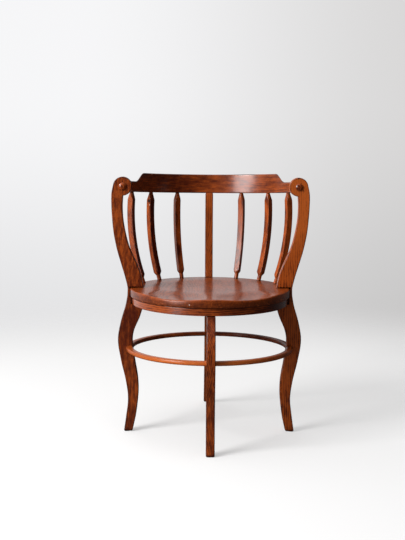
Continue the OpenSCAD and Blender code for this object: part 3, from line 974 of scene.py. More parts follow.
@dataclass(frozen=True)
class ChairBoards:
    """The four boards: two legs with arms, the front leg, the back leg and post."""

    plan: Plan
    sizes: BoardSizes
    rail: CrestRail
    scroll_steps: int = 49
    climb_step: float = 3 * MM
    least_step: float = 0.5 * MM

    def steps(self, low: float, high: float, step: float) -> np.ndarray:
        """Even heights from low to high, without the first."""
        return np.linspace(low, high, max(int((high - low) / step), 2) + 1)[1:]

    def seat_notch(self, shoulder_r: float) -> np.ndarray:
        """Corners of an inner edge, round the apron ring and the seat.

        Args:
            shoulder_r: where the board's shoulder ends on the seat's top.

        Returns:
            The corners (r, z), from the lowest up.
        """
        p, s = self.plan, self.sizes
        apron_r, seat_r = p.apron_ro + s.fit_gap, p.seat_r + s.fit_gap
        return np.array([
            (apron_r, p.apron_bottom), (apron_r, p.seat_under), (seat_r, p.seat_under),
            (seat_r, p.seat_top), (shoulder_r, p.seat_top),
        ])

    def notch_heights(self) -> np.ndarray:
        """Heights on the outer edge that are matched with the notch's corners.

        Returns:
            One height for each corner.
        """
        p = self.plan
        shares = np.array([0.08, 0.45, 0.55, 0.92, 1.04])
        return p.apron_bottom + shares * (p.seat_top - p.apron_bottom)

    def past_notch(self, count: int) -> np.ndarray:
        """The lowest heights that as many points may have past the notch, so that all rise."""
        return self.notch_heights()[-1] + np.arange(1, count + 1) * self.least_step

    def finish(
        self, board: Board, shell: Shell, edges: tuple[np.ndarray, np.ndarray], node: str,
        seed: int, head: float = 0.0, round_head: bool = False,
    ) -> None:
        """Adds a board's skin and its tongue to a shell, and makes the piece.

        Args:
            board: the board.
            shell: the piece's mesh, still empty.
            edges: its inner and its outer edge, from foot to head.
            node: the frame's node that it replaces.
            seed: seed of its hand-sanded rounding.
            head: the top end's rounding, as a share of the foot's.
            round_head: whether the two edges meet in one point at the top.
        """
        inner, outer = edges
        inset = board.rounded_end()[1]
        insets = np.zeros(len(inner))
        insets[: len(inset)] = inset
        insets[-len(inset) :] = head * inset[::-1]
        board.add_skin(shell, BoardOutline(inner, outer, insets, round_head), seed)
        board.add_tongue(shell, self.sizes)
        shell.make(node, slot="oak_board")

    def build_side(
        self, side: Side, name: str, node: str, shift: tuple[float, float, float], tint: Field
    ) -> None:
        """Builds a side leg and its arm, whose scroll head is a circle.

        Args:
            side: left or right.
            name: the piece's name.
            node: the frame's node that it replaces.
            shift: where in the timber this board was sawn.
            tint: how the board took the stain along its height, with painted shade at the left knee.
        """
        p, s = self.plan, self.sizes
        edges = LegEdges(p, s)
        board = Board(p, side)
        reach = board.rounded_end()[0]
        leg = np.concatenate([reach, self.steps(reach[-1], p.apron_bottom, board.step)])
        head_bottom = p.scroll_z - s.scroll_r
        arm = self.steps(p.seat_top, head_bottom - 1 * MM, board.step)
        notch = self.notch_heights()
        arm_outer = np.maximum(arm, self.past_notch(len(arm)))
        climb_top = p.scroll_z + s.scroll_r * math.sin(s.scroll_turn)
        climb = self.steps(head_bottom, climb_top, self.climb_step)
        turn_in = np.radians(np.linspace(-97, -270, self.scroll_steps))
        turn_out = np.linspace(s.scroll_turn, math.pi / 2, self.scroll_steps - len(climb) + 1)[1:]
        scroll_in, scroll_out = (
            np.array([p.rail_r, p.scroll_z])
            + s.scroll_r * np.stack([np.cos(turn), np.sin(turn)], axis=1)
            for turn in (turn_in, turn_out)
        )
        inner = np.concatenate([
            line(edges.leg_inner(), leg), self.seat_notch(p.seat_r - s.shoulder_in),
            line(edges.arm_inner(), arm), scroll_in,
        ])
        outer = np.concatenate([
            line(edges.side_outer(), np.concatenate([leg, notch, arm_outer, climb])), scroll_out,
        ])
        gloss = ByHeight(((0.10, 1.2), (0.44, 1.0), (0.56, 0.5)))
        shell = Shell(name, shift, tint, gloss)
        self.finish(board, shell, (inner, outer), node, seed=11, round_head=True)

    def build_front(self) -> None:
        """Builds the front leg, which ends in a flat top under the apron."""
        p = self.plan
        edges = LegEdges(p, self.sizes)
        board = Board(p, Side.FRONT)
        reach = board.rounded_end()[0]
        body = self.steps(reach[-1], p.apron_bottom - reach[-1], board.step)
        z = np.concatenate([reach, body, p.apron_bottom - reach[::-1][1:]])
        # Darker at the foot and towards the top under the apron, where the darkening is painted shade.
        stain = ByHeight(((0.0, -0.40), (0.10, -0.28), (0.26, -0.26), (0.40, -0.70)))
        shell = Shell("front_cabriole_leg", (0.05, 0.013, 0.06), stain)
        lines = line(edges.leg_inner(), z), line(edges.front_outer(), z)
        self.finish(board, shell, lines, "front_leg", seed=31, head=0.4)

    def build_back(self) -> None:
        """Builds the back leg and the centre post, cut to the rail's underside."""
        p, s = self.plan, self.sizes
        edges = LegEdges(p, s)
        board = Board(p, Side.BACK)
        reach = board.rounded_end()[0]
        faces = (p.rail_r - s.rail_t / 2, p.rail_r, p.rail_r + s.rail_t / 2)
        top_in, post_top, top_out = (self.rail.underside(face) for face in faces)
        leg = np.concatenate([reach, self.steps(reach[-1], p.apron_bottom, board.step)])
        notch = self.notch_heights()
        post = self.steps(p.seat_top, top_in - reach[-1], board.step)
        post = np.concatenate([post, top_in - reach[::-1][1:]])
        post_outer = np.maximum(post + top_out - top_in, self.past_notch(len(post)))
        inner = np.concatenate([
            line(edges.back_inner(), leg), self.seat_notch(p.seat_r - s.post_in),
            line(edges.post_front(post_top), post),
        ])
        outer = line(edges.back_outer(post_top), np.concatenate([leg, notch, post_outer]))
        shell = Shell("back_leg_and_post", (0.17, -0.021, -0.05), tint=0.7, gloss=1.3)
        self.finish(board, shell, (inner, outer), "back_leg_post", seed=51, head=0.4)

    def build(self) -> None:
        """Builds all four boards, the left one darkest at its knee and foot."""
        # The left board's dark band at the knee is painted shade behind the hoop.
        left = ByHeight((
            (0.0, -0.85), (0.08, -0.40), (0.22, -0.35), (0.33, -1.5), (0.44, -0.7), (0.60, -0.30),
        ))
        right = ByHeight(((0.0, 0.0), (0.12, 0.45), (0.33, 0.65), (0.47, 0.45), (0.62, 0.90)))
        self.build_side(Side.LEFT, "left_leg_and_arm", "left_leg_arm", (0.62, 0.017, -0.03), left)
        self.build_side(Side.RIGHT, "right_leg_and_arm", "right_leg_arm", (1.43, -0.011, 0.045), right)
        self.build_front()
        self.build_back()


# ---- Crest rail -----------------------------------------------------------


@dataclass(frozen=True)
class CrestRail:
    """The bent rail, low at its ends and raised in the middle by two shoulders."""

    plan: Plan
    rail_t: float
    mid_h: float = 60 * MM
    end_h: float = 33 * MM
    shoulder_foot: float = 35.5 * MM
    shoulder_top: float = 51.5 * MM
    shoulder_soft: float = 7 * MM
    tilt: float = math.radians(3.5)
    top_rounding: float = 4.0 * MM
    low_rounding: float = 2.6 * MM
    steps: int = 260

    @property
    def low(self) -> float:
        """Height of the rail's underside at the scroll heads."""
        return self.plan.scroll_z - self.end_h / 2

    @property
    def pivot(self) -> float:
        """Distance behind the axis of the line about which the rail tilts."""
        return self.plan.board_t / 2

    def top_height(self, x: np.ndarray) -> np.ndarray:
        """Height of the top edge above the underside, for a place x to the side.

        It climbs from the low end to the raised middle along a slope whose
        foot and top are softened, as a smooth minimum of three lines.

        Args:
            x: places to the side, in metres.

        Returns:
            The height at each place.
        """
        foot = self.plan.rail_r - self.shoulder_foot
        top = self.plan.rail_r - self.shoulder_top
        slope = (self.mid_h - self.end_h) / (foot - top)
        ramp = self.end_h + (foot - np.abs(x)) * slope
        raised = smooth_max(ramp, self.end_h, self.shoulder_soft)
        return -smooth_max(-raised, -self.mid_h, self.shoulder_soft)

    def underside(self, reach: float) -> float:
        """Height of the tilted underside at a distance behind the chair's axis."""
        return self.low - (reach - self.pivot) * math.tan(self.tilt)

    def stain_and_light_at(self, points: np.ndarray) -> np.ndarray:
        """The stain along the rail, with painted shade that darkens it towards the left end."""
        return -0.2 + np.clip(7 * (points[:, 0] - 0.02), -1.0, 0.0)

    def build(self) -> bpy.types.Object:
        """Carries the section round the half ring and tilts it about its ends.

        Returns:
            The new object.
        """
        plan = self.plan
        section = Section.rounded(arc_steps=6, flat_steps=3)
        is_top = section.side
        soft = self.low_rounding + (self.top_rounding - self.low_rounding) * (is_top > 0.5)
        out = section.face * (self.rail_t / 2 - section.face_in * soft)
        radius = plan.rail_r + out
        share = np.linspace(-1, 1, self.steps + 1)
        end_angle = np.arccos(np.clip((self.pivot - 1 * MM) / radius, -1, 1))
        angle = share[:, None] * end_angle[None, :]
        x = radius * np.sin(angle)
        height = self.top_height(x)
        z = is_top * height + np.where(is_top > 0.5, -1, 1) * section.side_in * soft
        y = radius * np.cos(angle) - self.pivot
        back, up = tilted(y, z, self.tilt, (self.pivot, self.low))
        places = np.stack([x, plan.axis_y + np.maximum(back, self.pivot), up], axis=-1)
        grain = np.stack([angle * plan.rail_r, z, np.broadcast_to(out, z.shape)], axis=-1)
        places = capped(places)
        grain = np.pad(grain, ((1, 1), (0, 0), (0, 0)), mode="edge")
        shell = Shell("bent_crest_rail", (0.83, 0.008, 0.019), self.stain_and_light_at, gloss=1.2)
        shell.add_grid(places, grain, np.broadcast_to(section.edge, places.shape[:2]))
        return shell.make("crest_rail", slot="oak_bent")


# ---- Spindles, buttons and screws -----------------------------------------


@dataclass(frozen=True)
class Spindle:
    """A bent square spindle with a pencil-pointed neck and a round tenon."""

    plan: Plan
    rail: CrestRail
    number: int
    angle: float
    tint: float
    # Painted shade on the face that looks at the chair's axis.
    shade: float
    gloss: float
    width: float = 18 * MM
    corner_r: float = 1.1 * MM
    foot_in: float = 19 * MM
    bow: float = 18.5 * MM
    tenon_r: float = 6.5 * MM
    tenon_show: float = 17 * MM
    shoulder_l: float = 12 * MM
    neck_r: float = 6 * MM
    neck_l: float = 28 * MM
    neck_bare: float = 2 * MM
    tenon_depth: float = 14 * MM
    top_in: float = 1.5 * MM
    full: float = 0.75
    foot_steps: int = 15
    bend_steps: int = 70
    neck_steps: int = 40

    @property
    def top_z(self) -> float:
        """Height of the rail's underside where the spindle meets it."""
        return self.rail.underside((self.plan.rail_r - self.top_in) * math.cos(self.angle))

    def section(self) -> tuple[np.ndarray, np.ndarray]:
        """The rounded square as a loop of points, and which are on a corner.

        Returns:
            The loop's points, and 1 for each point on a corner or else 0.
        """
        half = self.width / 2
        flat = np.linspace(-1, 1, 9) * (half - 1.4 * self.corner_r)
        turn = np.linspace(0, math.pi / 2, 5)
        arc = (half - self.corner_r) + self.corner_r * np.stack([np.cos(turn), np.sin(turn)], axis=1)
        quarter = np.concatenate([np.stack([np.full(9, half), flat], axis=1), arc])
        flags = np.concatenate([np.zeros(9), np.ones(5)])
        loops = []
        for k in range(4):
            c, s = math.cos(k * math.pi / 2), math.sin(k * math.pi / 2)
            loops.append(quarter @ np.array([[c, s], [-s, c]]))
        return np.concatenate(loops), np.tile(flags, 4)

    def build(self) -> bpy.types.Object:
        """Carries the section up an arc that runs straight at both its ends.

        A round limit turns the square into the tenon, the shoulder, the neck
        and the pencil facets: each point's distance from the middle is the
        smaller of the square's and the limit at that length. At the full share
        of the width the limit is clear of the square's corners.

        Returns:
            The new object.
        """
        plan = self.plan
        foot_r, top_r = plan.seat_r - self.foot_in, plan.rail_r - self.top_in
        run, rise = top_r - foot_r, self.top_z - plan.seat_top
        chord = math.hypot(run, rise)
        bend_r = (chord * chord / 4 + self.bow * self.bow) / (2 * self.bow)
        half_arc = math.asin(chord / 2 / bend_r)
        start = math.atan2(run, rise) + half_arc
        length = 2 * bend_r * half_arc
        foot_l, neck_at = self.tenon_show + self.shoulder_l, length - self.neck_l
        s = np.concatenate([
            [-self.tenon_depth, -1 * MM, 8 * MM, self.tenon_show - 1 * MM],
            self.tenon_show + self.shoulder_l * np.linspace(0, 1, self.foot_steps),
            np.linspace(foot_l, neck_at, self.bend_steps)[1:-1],
            neck_at + (self.neck_l - self.neck_bare) * np.linspace(0, 1, self.neck_steps),
            [length, length + self.tenon_depth],
        ])
        bent = np.clip(s, foot_l, neck_at)
        lean = start - bent / bend_r
        along = s - bent
        r = foot_r + bend_r * (np.cos(lean) - math.cos(start)) + along * np.sin(lean)
        z = plan.seat_top + bend_r * (math.sin(start) - np.sin(lean)) + along * np.cos(lean)
        wide = self.full * self.width
        limit = np.interp(
            s,
            [self.tenon_show, foot_l, neck_at, length - self.neck_bare],
            [self.tenon_r, wide, wide, self.neck_r],
        )
        limit = np.where((s > foot_l) & (s < neck_at), wide, limit)
        square, corner = self.section()
        distance = np.linalg.norm(square, axis=1)
        scale = -smooth_max(-np.ones((len(s), len(distance))), -limit[:, None] / distance, 0.02)
        local = square[None] * scale[..., None]
        local = np.pad(local, ((1, 1), (0, 0), (0, 0)))
        r, z, lean, s = (np.pad(values, 1, mode="edge") for values in (r, z, lean, s))
        reach = r[:, None] + local[..., 0] * np.cos(lean)[:, None]
        height = z[:, None] - local[..., 0] * np.sin(lean)[:, None]
        ca, sa = math.cos(self.angle), math.sin(self.angle)
        places = np.stack(
            [reach * sa + local[..., 1] * ca, plan.axis_y + reach * ca - local[..., 1] * sa, height],
            axis=-1,
        )
        run = np.broadcast_to(s[:, None], reach.shape)
        grain = np.stack([run, local[..., 0], local[..., 1]], axis=-1)
        edge = np.broadcast_to(corner, reach.shape)
        shift = (0.37 * self.number, 0.023 * self.number, 0.011 * (self.number % 3))

        def stain_and_light_at(points: np.ndarray) -> np.ndarray:
            """The stain, with painted shade on the face that looks at the chair's axis.

            Args:
                points: points in the frame.

            Returns:
                The tint at each point.
            """
            reach = points[:, 0] * sa + (points[:, 1] - plan.axis_y) * ca
            inward = (np.interp(points[:, 2], z, r) - reach) / (self.width / 2)
            return self.tint - self.shade * np.clip(inward, 0.0, 1.0) ** 3

        shell = Shell(f"bent_spindle_{self.number}", shift, stain_and_light_at, self.gloss)
        shell.add_grid(places, grain, edge)
        return shell.make(f"spindle_{self.number}", slot="oak_spindle")


@dataclass(frozen=True)
class Button:
    """A domed button on a scroll head's face, over the crest screw."""

    plan: Plan
    side: int
    name: str
    radius: float = 11.25 * MM
    rise: float = 7 * MM
    lip: float = 1.1 * MM
    plug_r: float = 5.5 * MM
    plug_l: float = 7.8 * MM
    crown_rows: int = 4
    crown_edge: float = 0.6

    def build(self) -> bpy.types.Object:
        """Turns a half ellipse with a rounded lip and a plug about its axis.

        Returns:
            The new object.
        """
        turn = np.linspace(0, math.pi / 2, 16)
        dome_r = self.radius * np.sin(turn)
        dome_h = self.lip + (self.rise - self.lip) * np.cos(turn)
        under = np.linspace(0, math.pi / 2, 6)[1:]
        lip_r = self.radius - self.lip * (1 - np.cos(under))
        lip_h = self.lip * (1 - np.sin(under))
        radius = np.concatenate([dome_r, lip_r, [self.plug_r, self.plug_r, 0.0]])
        height = np.concatenate([dome_h, lip_h, [0.0, -self.plug_l, -self.plug_l]])
        angle = np.linspace(0, 2 * math.pi, 65)
        a = angle[:-1, None]
        centre = np.array([self.side * self.plan.rail_r, self.plan.axis_y, self.plan.scroll_z])
        x = centre[0] + radius * np.cos(a)
        z = centre[2] + radius * np.sin(a)
        y = np.broadcast_to(centre[1] - self.plan.board_t / 2 - height, x.shape)
        places = np.stack([x, y, z], axis=-1)
        grain = (places - centre)[..., [2, 0, 1]]
        edge = np.zeros(x.shape)
        edge[:, : self.crown_rows] = self.crown_edge
        shell = Shell(self.name, (0.2 + 0.1 * self.side, 0.03, 0.07))
        shell.add_grid(places, grain, edge, wrap_u=True, wrap_v=False)
        return shell.make(f"{'right' if self.side > 0 else 'left'}_button", slot="oak_button")


# ---- Shader graphs --------------------------------------------------------


class Value:
    """A node's output that can be used in Python arithmetic."""

    def __init__(self, graph: Graph, socket: bpy.types.NodeSocket) -> None:
        """Keeps the socket and the graph that it belongs to."""
        self.graph = graph
        self.socket = socket

    def _math(self, operation: str, a: Operand, b: Operand) -> Value:
        """Adds one Math node."""
        return self.graph.node("ShaderNodeMath", {"operation": operation}, {0: a, 1: b})

    def __add__(self, other: Operand) -> Value:
        """The sum."""
        return self._math("ADD", self, other)

    __radd__ = __add__

    def __sub__(self, other: Operand) -> Value:
        """The difference."""
        return self._math("SUBTRACT", self, other)

    def __rsub__(self, other: Operand) -> Value:
        """The difference from a number."""
        return self._math("SUBTRACT", other, self)

    def __mul__(self, other: Operand) -> Value:
        """The product."""
        return self._math("MULTIPLY", self, other)

    __rmul__ = __mul__

    def __truediv__(self, other: Operand) -> Value:
        """The quotient."""
        return self._math("DIVIDE", self, other)

    def __pow__(self, other: Operand) -> Value:
        """The power."""
        return self._math("POWER", self, other)

    def part(self) -> Value:
        """The fractional part."""
        return self._math("FRACT", self, 0.0)

    def clipped(self) -> Value:
        """The value held between 0 and 1."""
        return self.graph.node("ShaderNodeClamp", {}, {"Value": self})

    def over(self, low: float, high: float) -> Value:
        """Rises smoothly from 0 at low to 1 at high.

        Args:
            low: where it begins to rise.
            high: where it reaches 1.

        Returns:
            The risen value.
        """
        return self.graph.node(
            "ShaderNodeMapRange",
            {"interpolation_type": "SMOOTHSTEP"},
            {"Value": self, "From Min": low, "From Max": high},
        )


Operand = Value | float
Colour = tuple[float, float, float]
Span = tuple[float, float]


class Graph:
    """The node tree of one material or of the world."""

    def __init__(self, tree: bpy.types.NodeTree) -> None:
        """Empties the tree."""
        self.tree = tree
        tree.nodes.clear()

    def node(
        self,
        kind: str,
        settings: dict[str, object] | None = None,
        inputs: dict[str | int, object] | None = None,
        output: str | int = 0,
    ) -> Value:
        """Adds a node.

        Args:
            kind: the node's type.
            settings: its properties.
            inputs: numbers, colours or values for its sockets, by name or place.
            output: the socket to return, by name or place.

        Returns:
            The chosen output.
        """
        made = self.tree.nodes.new(kind)
        for key, value in (settings or {}).items():
            setattr(made, key, value)
        for key, value in (inputs or {}).items():
            socket = made.inputs[key]
            if isinstance(value, Value):
                self.tree.links.new(value.socket, socket)
            else:
                socket.default_value = (*value, 1.0) if socket.type == "RGBA" else value
        return Value(self, made.outputs[output] if made.outputs else None)

    def mix(self, share: Operand, a: Value | Colour, b: Value | Colour) -> Value:
        """A colour between a and b; share 0 gives a."""
        inputs = {"Factor": share, 6: a, 7: b}
        return self.node("ShaderNodeMix", {"data_type": "RGBA"}, inputs, output=2)

    def noise(self, place: Value, detail: float = 2.0, rough: float = 0.5) -> Value:
        """Smooth noise between 0 and 1 at a place that is already scaled.

        Args:
            place: the place.
            detail: how many finer layers it has.
            rough: how strong each finer layer is.

        Returns:
            The noise.
        """
        return self.node(
            "ShaderNodeTexNoise",
            {"noise_dimensions": "3D", "normalize": True},
            {"Vector": place, "Scale": 1.0, "Detail": detail, "Roughness": rough, "Distortion": 0.0},
            output="Fac",
        )

    def here(self) -> Value:
        """The place in the piece's own coordinates."""
        return self.node("ShaderNodeTexCoord", output="Object")

    def ray_is(self, kind: str) -> Value:
        """1 for rays of one kind, such as Camera, and 0 for all others."""
        return self.node("ShaderNodeLightPath", output=f"Is {kind} Ray")

    def blend(self, share: Operand, a: Value, b: Value) -> Value:
        """A shader between a and b; share 0 gives a."""
        return self.node("ShaderNodeMixShader", {}, {0: share, 1: a, 2: b})

    def principled(
        self, strength: float, depth: float, height: Value, inputs: dict[str, object]
    ) -> None:
        """Ends the material in a Principled shader over a bump.

        Args:
            strength: the bump's strength.
            depth: the bump's depth, in metres.
            height: the bump's height at each place.
            inputs: the shader's other inputs, by name.
        """
        heights = {"Strength": strength, "Distance": depth, "Height": height}
        normal = self.node("ShaderNodeBump", {}, heights)
        shader = self.node("ShaderNodeBsdfPrincipled", {}, {**inputs, "Normal": normal})
        self.node("ShaderNodeOutputMaterial", {}, {"Surface": shader})

    def stretched(self, place: Value, scale: tuple[float, float, float]) -> Value:
        """A place multiplied by a number in each direction."""
        return self.node("ShaderNodeVectorMath", {"operation": "MULTIPLY"}, {0: place, 1: scale})

    def split(self, place: Value) -> tuple[Value, Value, Value]:
        """The three numbers of a vector.

        Args:
            place: the vector.

        Returns:
            Its x, y and z.
        """
        first = self.node("ShaderNodeSeparateXYZ", {}, {0: place})
        sockets = first.socket.node.outputs
        return tuple(Value(self, socket) for socket in sockets)


def new_material(name: str) -> tuple[bpy.types.Material, Graph]:
    """A material and its empty node graph.

    Args:
        name: the material's name.

    Returns:
        The material and its graph.
    """
    material = bpy.data.materials.new(name)
    material.use_nodes = True
    return material, Graph(material.node_tree)


# ---- Finishes -------------------------------------------------------------


class Cut(Enum):
    """How the timber was sawn, as the pith's place (across, through) in metres."""

    FLAT_SAWN = (0.004, -0.045)
    RIFT_SAWN = (-0.09, -0.08)
    QUARTER_SAWN = (-0.16, -0.01)


@dataclass(frozen=True)
class Mark:
    """A small spot of another colour: a nick, a blemish or a painted glint."""

    place: tuple[float, float, float]
    radius: float
    colour: Colour

    def share(self, graph: Graph) -> Value:
        """1 at the spot's middle, falling to 0 at its rim.

        Args:
            graph: the material's graph.

        Returns:
            The share of its colour at each place.
        """
        ends = {0: graph.here(), 1: self.place}
        gap = graph.node("ShaderNodeVectorMath", {"operation": "DISTANCE"}, ends, output="Value")
        return 1 - gap.over(0.55 * self.radius, self.radius)


@dataclass(frozen=True)
class Figure:
    """Noise in the timber; its rates are per mm along, across and through the wood."""

    rates: tuple[float, float, float]
    detail: float = 2.0
    rough: float = 0.5

    def draw(self, graph: Graph, place: Value) -> Value:
        """The noise at a place in the timber, between 0 and 1."""
        return graph.noise(graph.stretched(place, self.rates), self.detail, self.rough)


# The figures of the oak and of its finish, and the values between which some
# of them come to show or fade away.
FIBRE = Figure((0.03, 1.5, 1.5), 4, 0.65)
FINE_FIBRE = Figure((0.10, 4.2, 4.2), 2, 0.6)
RAY_FLECK = Figure((0.11, 0.55, 0.10))
STAIN = Figure((0.012, 0.035, 0.035), 3, 0.6)
CLOUD = Figure((0.030, 0.11, 0.11), 3, 0.6)
SPECK = Figure((0.12, 0.30, 0.30), 1)
PORE = Figure((0.16, 2.6, 2.6), 1, 0.4)
RING_SWAY = Figure((0.0075, 0.022, 0.022), 3)
RING_RIPPLE = Figure((0.03, 0.12, 0.12))
RUBBED_PATCH = Figure((0.035, 0.2, 0.2), 3, 0.7)
BRUSHED_COAT = Figure((0.06, 0.14, 0.14), 3, 0.6)
PORES_SHOW = (0.58, 0.72)
FLECKS_SHOW = (0.60, 0.70)
GRIME_FADES = (0.50, 0.66)
WOOD_SHOWS = (0.56, 0.70)
TINT_FADES = (0.5, 1.6)


@dataclass(frozen=True)
class OakFinish:
    """Oak, stained reddish brown and varnished.

    The timber coordinates give the growth rings as distances from the pith, the
    open pores of each ring's early wood, the fibres, the rays' flecks and the
    blotches of the stain. Old finish gathers dark along the rounded edges and
    is rubbed through to lighter wood in a few places on them. The bump's depth
    is shared out among the pores, the rings and the brushed coat.
    """

    name: str
    light: Colour = (0.350, 0.067, 0.0085)
    dark: Colour = (0.064, 0.0076, 0.0020)
    pore: Colour = (0.009, 0.0022, 0.0010)
    grime: Colour = (0.022, 0.0034, 0.0014)
    worn: Colour = (0.30, 0.085, 0.026)
    pale_stain_and_highlight: Colour = (0.62, 0.145, 0.026)
    cut: Cut = Cut.RIFT_SAWN
    joined: bool = False
    ring_w: float = 3.4 * MM
    ring_strength: float = 0.55
    ring_sway: float = 13.0 * MM
    ring_ripple: float = 1.6 * MM
    pith_lean: float = 0.011
    late_pores: float = 0.25
    pore_dark: float = 0.85
    fibre: float = 1.5
    fine_fibre: float = 0.5
    blotch: float = 1.05
    fleck: float = 0.18
    darkness: float = 0.18
    tint_share: float = 0.5
    edge_grime: float = 0.55
    joint_darkening: float = 0.9
    foot_darkening: float = 0.8
    foot_height: Span = (2 * MM, 12 * MM)
    wear: float = 0.5
    mottle: float = 1.9
    speckle: float = 0.0
    coat: float = 0.45
    coat_roughness: float = 0.17
    roughness: float = 0.42
    roughness_swing: float = 0.22
    pore_roughness: float = 0.12
    specular: float = 0.12
    bump: float = 0.35
    bump_depth: float = 0.15 * MM
    pore_depth: float = 0.7
    ring_depth: float = 0.15
    brush_depth: float = 0.5
    marks: tuple[Mark, ...] = ()

    def attribute(self, graph: Graph, name: str, output: str = "Fac") -> Value:
        """Reads one of the piece's own attributes."""
        settings = {"attribute_type": "GEOMETRY", "attribute_name": name}
        return graph.node("ShaderNodeAttribute", settings, output=output)

    def tone(self, graph: Graph, place: Value, early: Value) -> Value:
        """How dark the stained wood is, from 0 to 1, without its open pores.

        Args:
            graph: the material's graph.
            place: the place in the timber, in mm.
            early: how much of the early wood is there.

        Returns:
            The tone, where 1 is darkest.
        """
        amounts = (
            (FIBRE, self.fibre), (FINE_FIBRE, self.fine_fibre), (SPECK, self.speckle),
            (STAIN, self.blotch), (CLOUD, self.mottle),
        )
        tone = early * self.ring_strength
        for figure, amount in amounts:
            tone = tone + (figure.draw(graph, place) - 0.5) * amount
        # The tint holds the stain's differences and, on some pieces, painted light and shade.
        tone = tone - self.attribute(graph, "tint") * self.tint_share
        flecks = RAY_FLECK.draw(graph, place).over(*FLECKS_SHOW) * self.fleck
        return (tone - flecks + self.darkness).clipped()

    def early_wood(self, graph: Graph, place: Value) -> Value:
        """Each ring's porous early wood, from the distance to the pith.

        Args:
            graph: the material's graph.
            place: the place in the timber, in mm.

        Returns:
            The early wood, from 0 to 1.
        """
        along, across, through = graph.split(place)
        sway, ripple = (figure.draw(graph, place) for figure in (RING_SWAY, RING_RIPPLE))
        pith_y, pith_z = (v / MM for v in self.cut.value)
        dy = across - pith_y + (sway - 0.5) * (self.ring_sway / MM)
        dz = through - pith_z + along * self.pith_lean
        distance = (dy * dy + dz * dz) ** 0.5 + (ripple - 0.5) * (self.ring_ripple / MM)
        ring = (distance / (self.ring_w / MM)).part()
        return (1 - ring.over(0.12, 0.62) + ring.over(0.9, 1.0)).clipped()

    def joint_and_foot_darkening(self, graph: Graph, plan: Plan) -> Value:
        """Darkening in the joints with the seat and the apron, and on the feet.

        Inside the seat's edge it covers what lies between the apron's underside
        and the seat's top, and fades out 3 mm above and below them.

        Args:
            graph: the material's graph.
            plan: the chair's plan.

        Returns:
            The darkening, from 0 to 1.
        """
        x, y, z = graph.split(graph.here())
        dy = y - plan.axis_y
        inside = 1 - ((x * x + dy * dy) ** 0.5).over(plan.seat_r - 1 * MM, plan.seat_r + 1 * MM)
        above = 1 - z.over(plan.seat_top + 0.8 * MM, plan.seat_top + 3.2 * MM)
        joint = inside * above * z.over(plan.apron_bottom - 3 * MM, plan.apron_bottom)
        feet = (1 - z.over(*self.foot_height)) * self.foot_darkening
        return joint * self.joint_darkening + feet

    def build(self, plan: Plan) -> bpy.types.Material:
        """Builds the material.

        Args:
            plan: the chair's plan, for the heights where the joints are darkened.

        Returns:
            The new material.
        """
        material, graph = new_material(self.name)
        grain = self.attribute(graph, "grain", "Vector")
        place = graph.stretched(grain, (1 / MM, 1 / MM, 1 / MM))
        early = self.early_wood(graph, place)
        dense = early * (1 - self.late_pores) + self.late_pores
        pores = PORE.draw(graph, place).over(*PORES_SHOW) * dense
        base = graph.mix(self.tone(graph, place, early), self.light, self.dark)
        # Where the tint runs high, the wood turns pale orange: a paler stain on some boards, and
        # painted light on the seat's nose and the hoop's front.
        base = graph.mix(self.attribute(graph, "tint").over(*TINT_FADES), base, self.pale_stain_and_highlight)
        base = graph.mix((pores * self.pore_dark).clipped(), base, self.pore)
        edge = self.attribute(graph, "edge")
        patch = RUBBED_PATCH.draw(graph, place)
        dark = edge * self.edge_grime * (1 - patch.over(*GRIME_FADES))
        base = graph.mix(dark.clipped(), base, self.grime)
        bare = edge * patch.over(*WOOD_SHOWS) * self.wear
        base = graph.mix(bare.clipped(), base, self.worn)
        if self.joined:
            # The joints and the feet are darkened with the same dark colour as the edges.
            base = graph.mix(self.joint_and_foot_darkening(graph, plan).clipped(), base, self.grime)
        for mark in self.marks:
            base = graph.mix(mark.share(graph), base, mark.colour)
        uneven = BRUSHED_COAT.draw(graph, place)
        height = (1 - pores) * self.pore_depth - early * self.ring_depth
        height = height + uneven * self.brush_depth
        rough = self.roughness + (uneven - 0.5) * self.roughness_swing
        graph.principled(self.bump, self.bump_depth, height, {
            "Base Color": base,
            "Roughness": rough + pores * self.pore_roughness,
            "Coat Weight": self.attribute(graph, "gloss") * self.coat,
            "Coat Roughness": self.coat_roughness,
            "Specular IOR Level": self.specular,
        })
        return material


@dataclass(frozen=True)
class ScrewSteel:
    """Dull steel with a brown bloom, for the screws that hold the chair."""

    name: str = "screw_steel_finish"
    steel: Colour = (0.30, 0.29, 0.28)
    bloom: Colour = (0.12, 0.055, 0.025)
    bloom_rates: tuple[float, float, float] = (420.0, 420.0, 420.0)
    scratch_rates: tuple[float, float, float] = (2600.0, 300.0, 300.0)
    bloom_shows: Span = (0.45, 0.68)
    bloom_dullness: float = 0.7
    roughness: float = 0.38
    bloom_roughness: float = 0.35
    bump: float = 0.2
    bump_depth: float = 0.05 * MM

    def build(self, plan: Plan) -> bpy.types.Material:
        """Builds the material, which is the same all over the chair.

        Args:
            plan: the chair's plan, which this finish has no need of.

        Returns:
            The new material.
        """
        material, graph = new_material(self.name)
        place = graph.here()
        bloom = graph.noise(graph.stretched(place, self.bloom_rates), detail=4, rough=0.6)
        scratch = graph.noise(graph.stretched(place, self.scratch_rates))
        spots = bloom.over(*self.bloom_shows)
        graph.principled(self.bump, self.bump_depth, scratch + bloom, {
            "Base Color": graph.mix(spots, self.steel, self.bloom),
            "Metallic": 1 - spots * self.bloom_dullness,
            "Roughness": self.roughness + spots * self.bloom_roughness,
        })
        return material


def dress(piece: bpy.types.Object, material: bpy.types.Material) -> None:
    """Gives a piece one material."""
    piece.data.materials.clear()
    piece.data.materials.append(material)


# ---- Studio ---------------------------------------------------------------


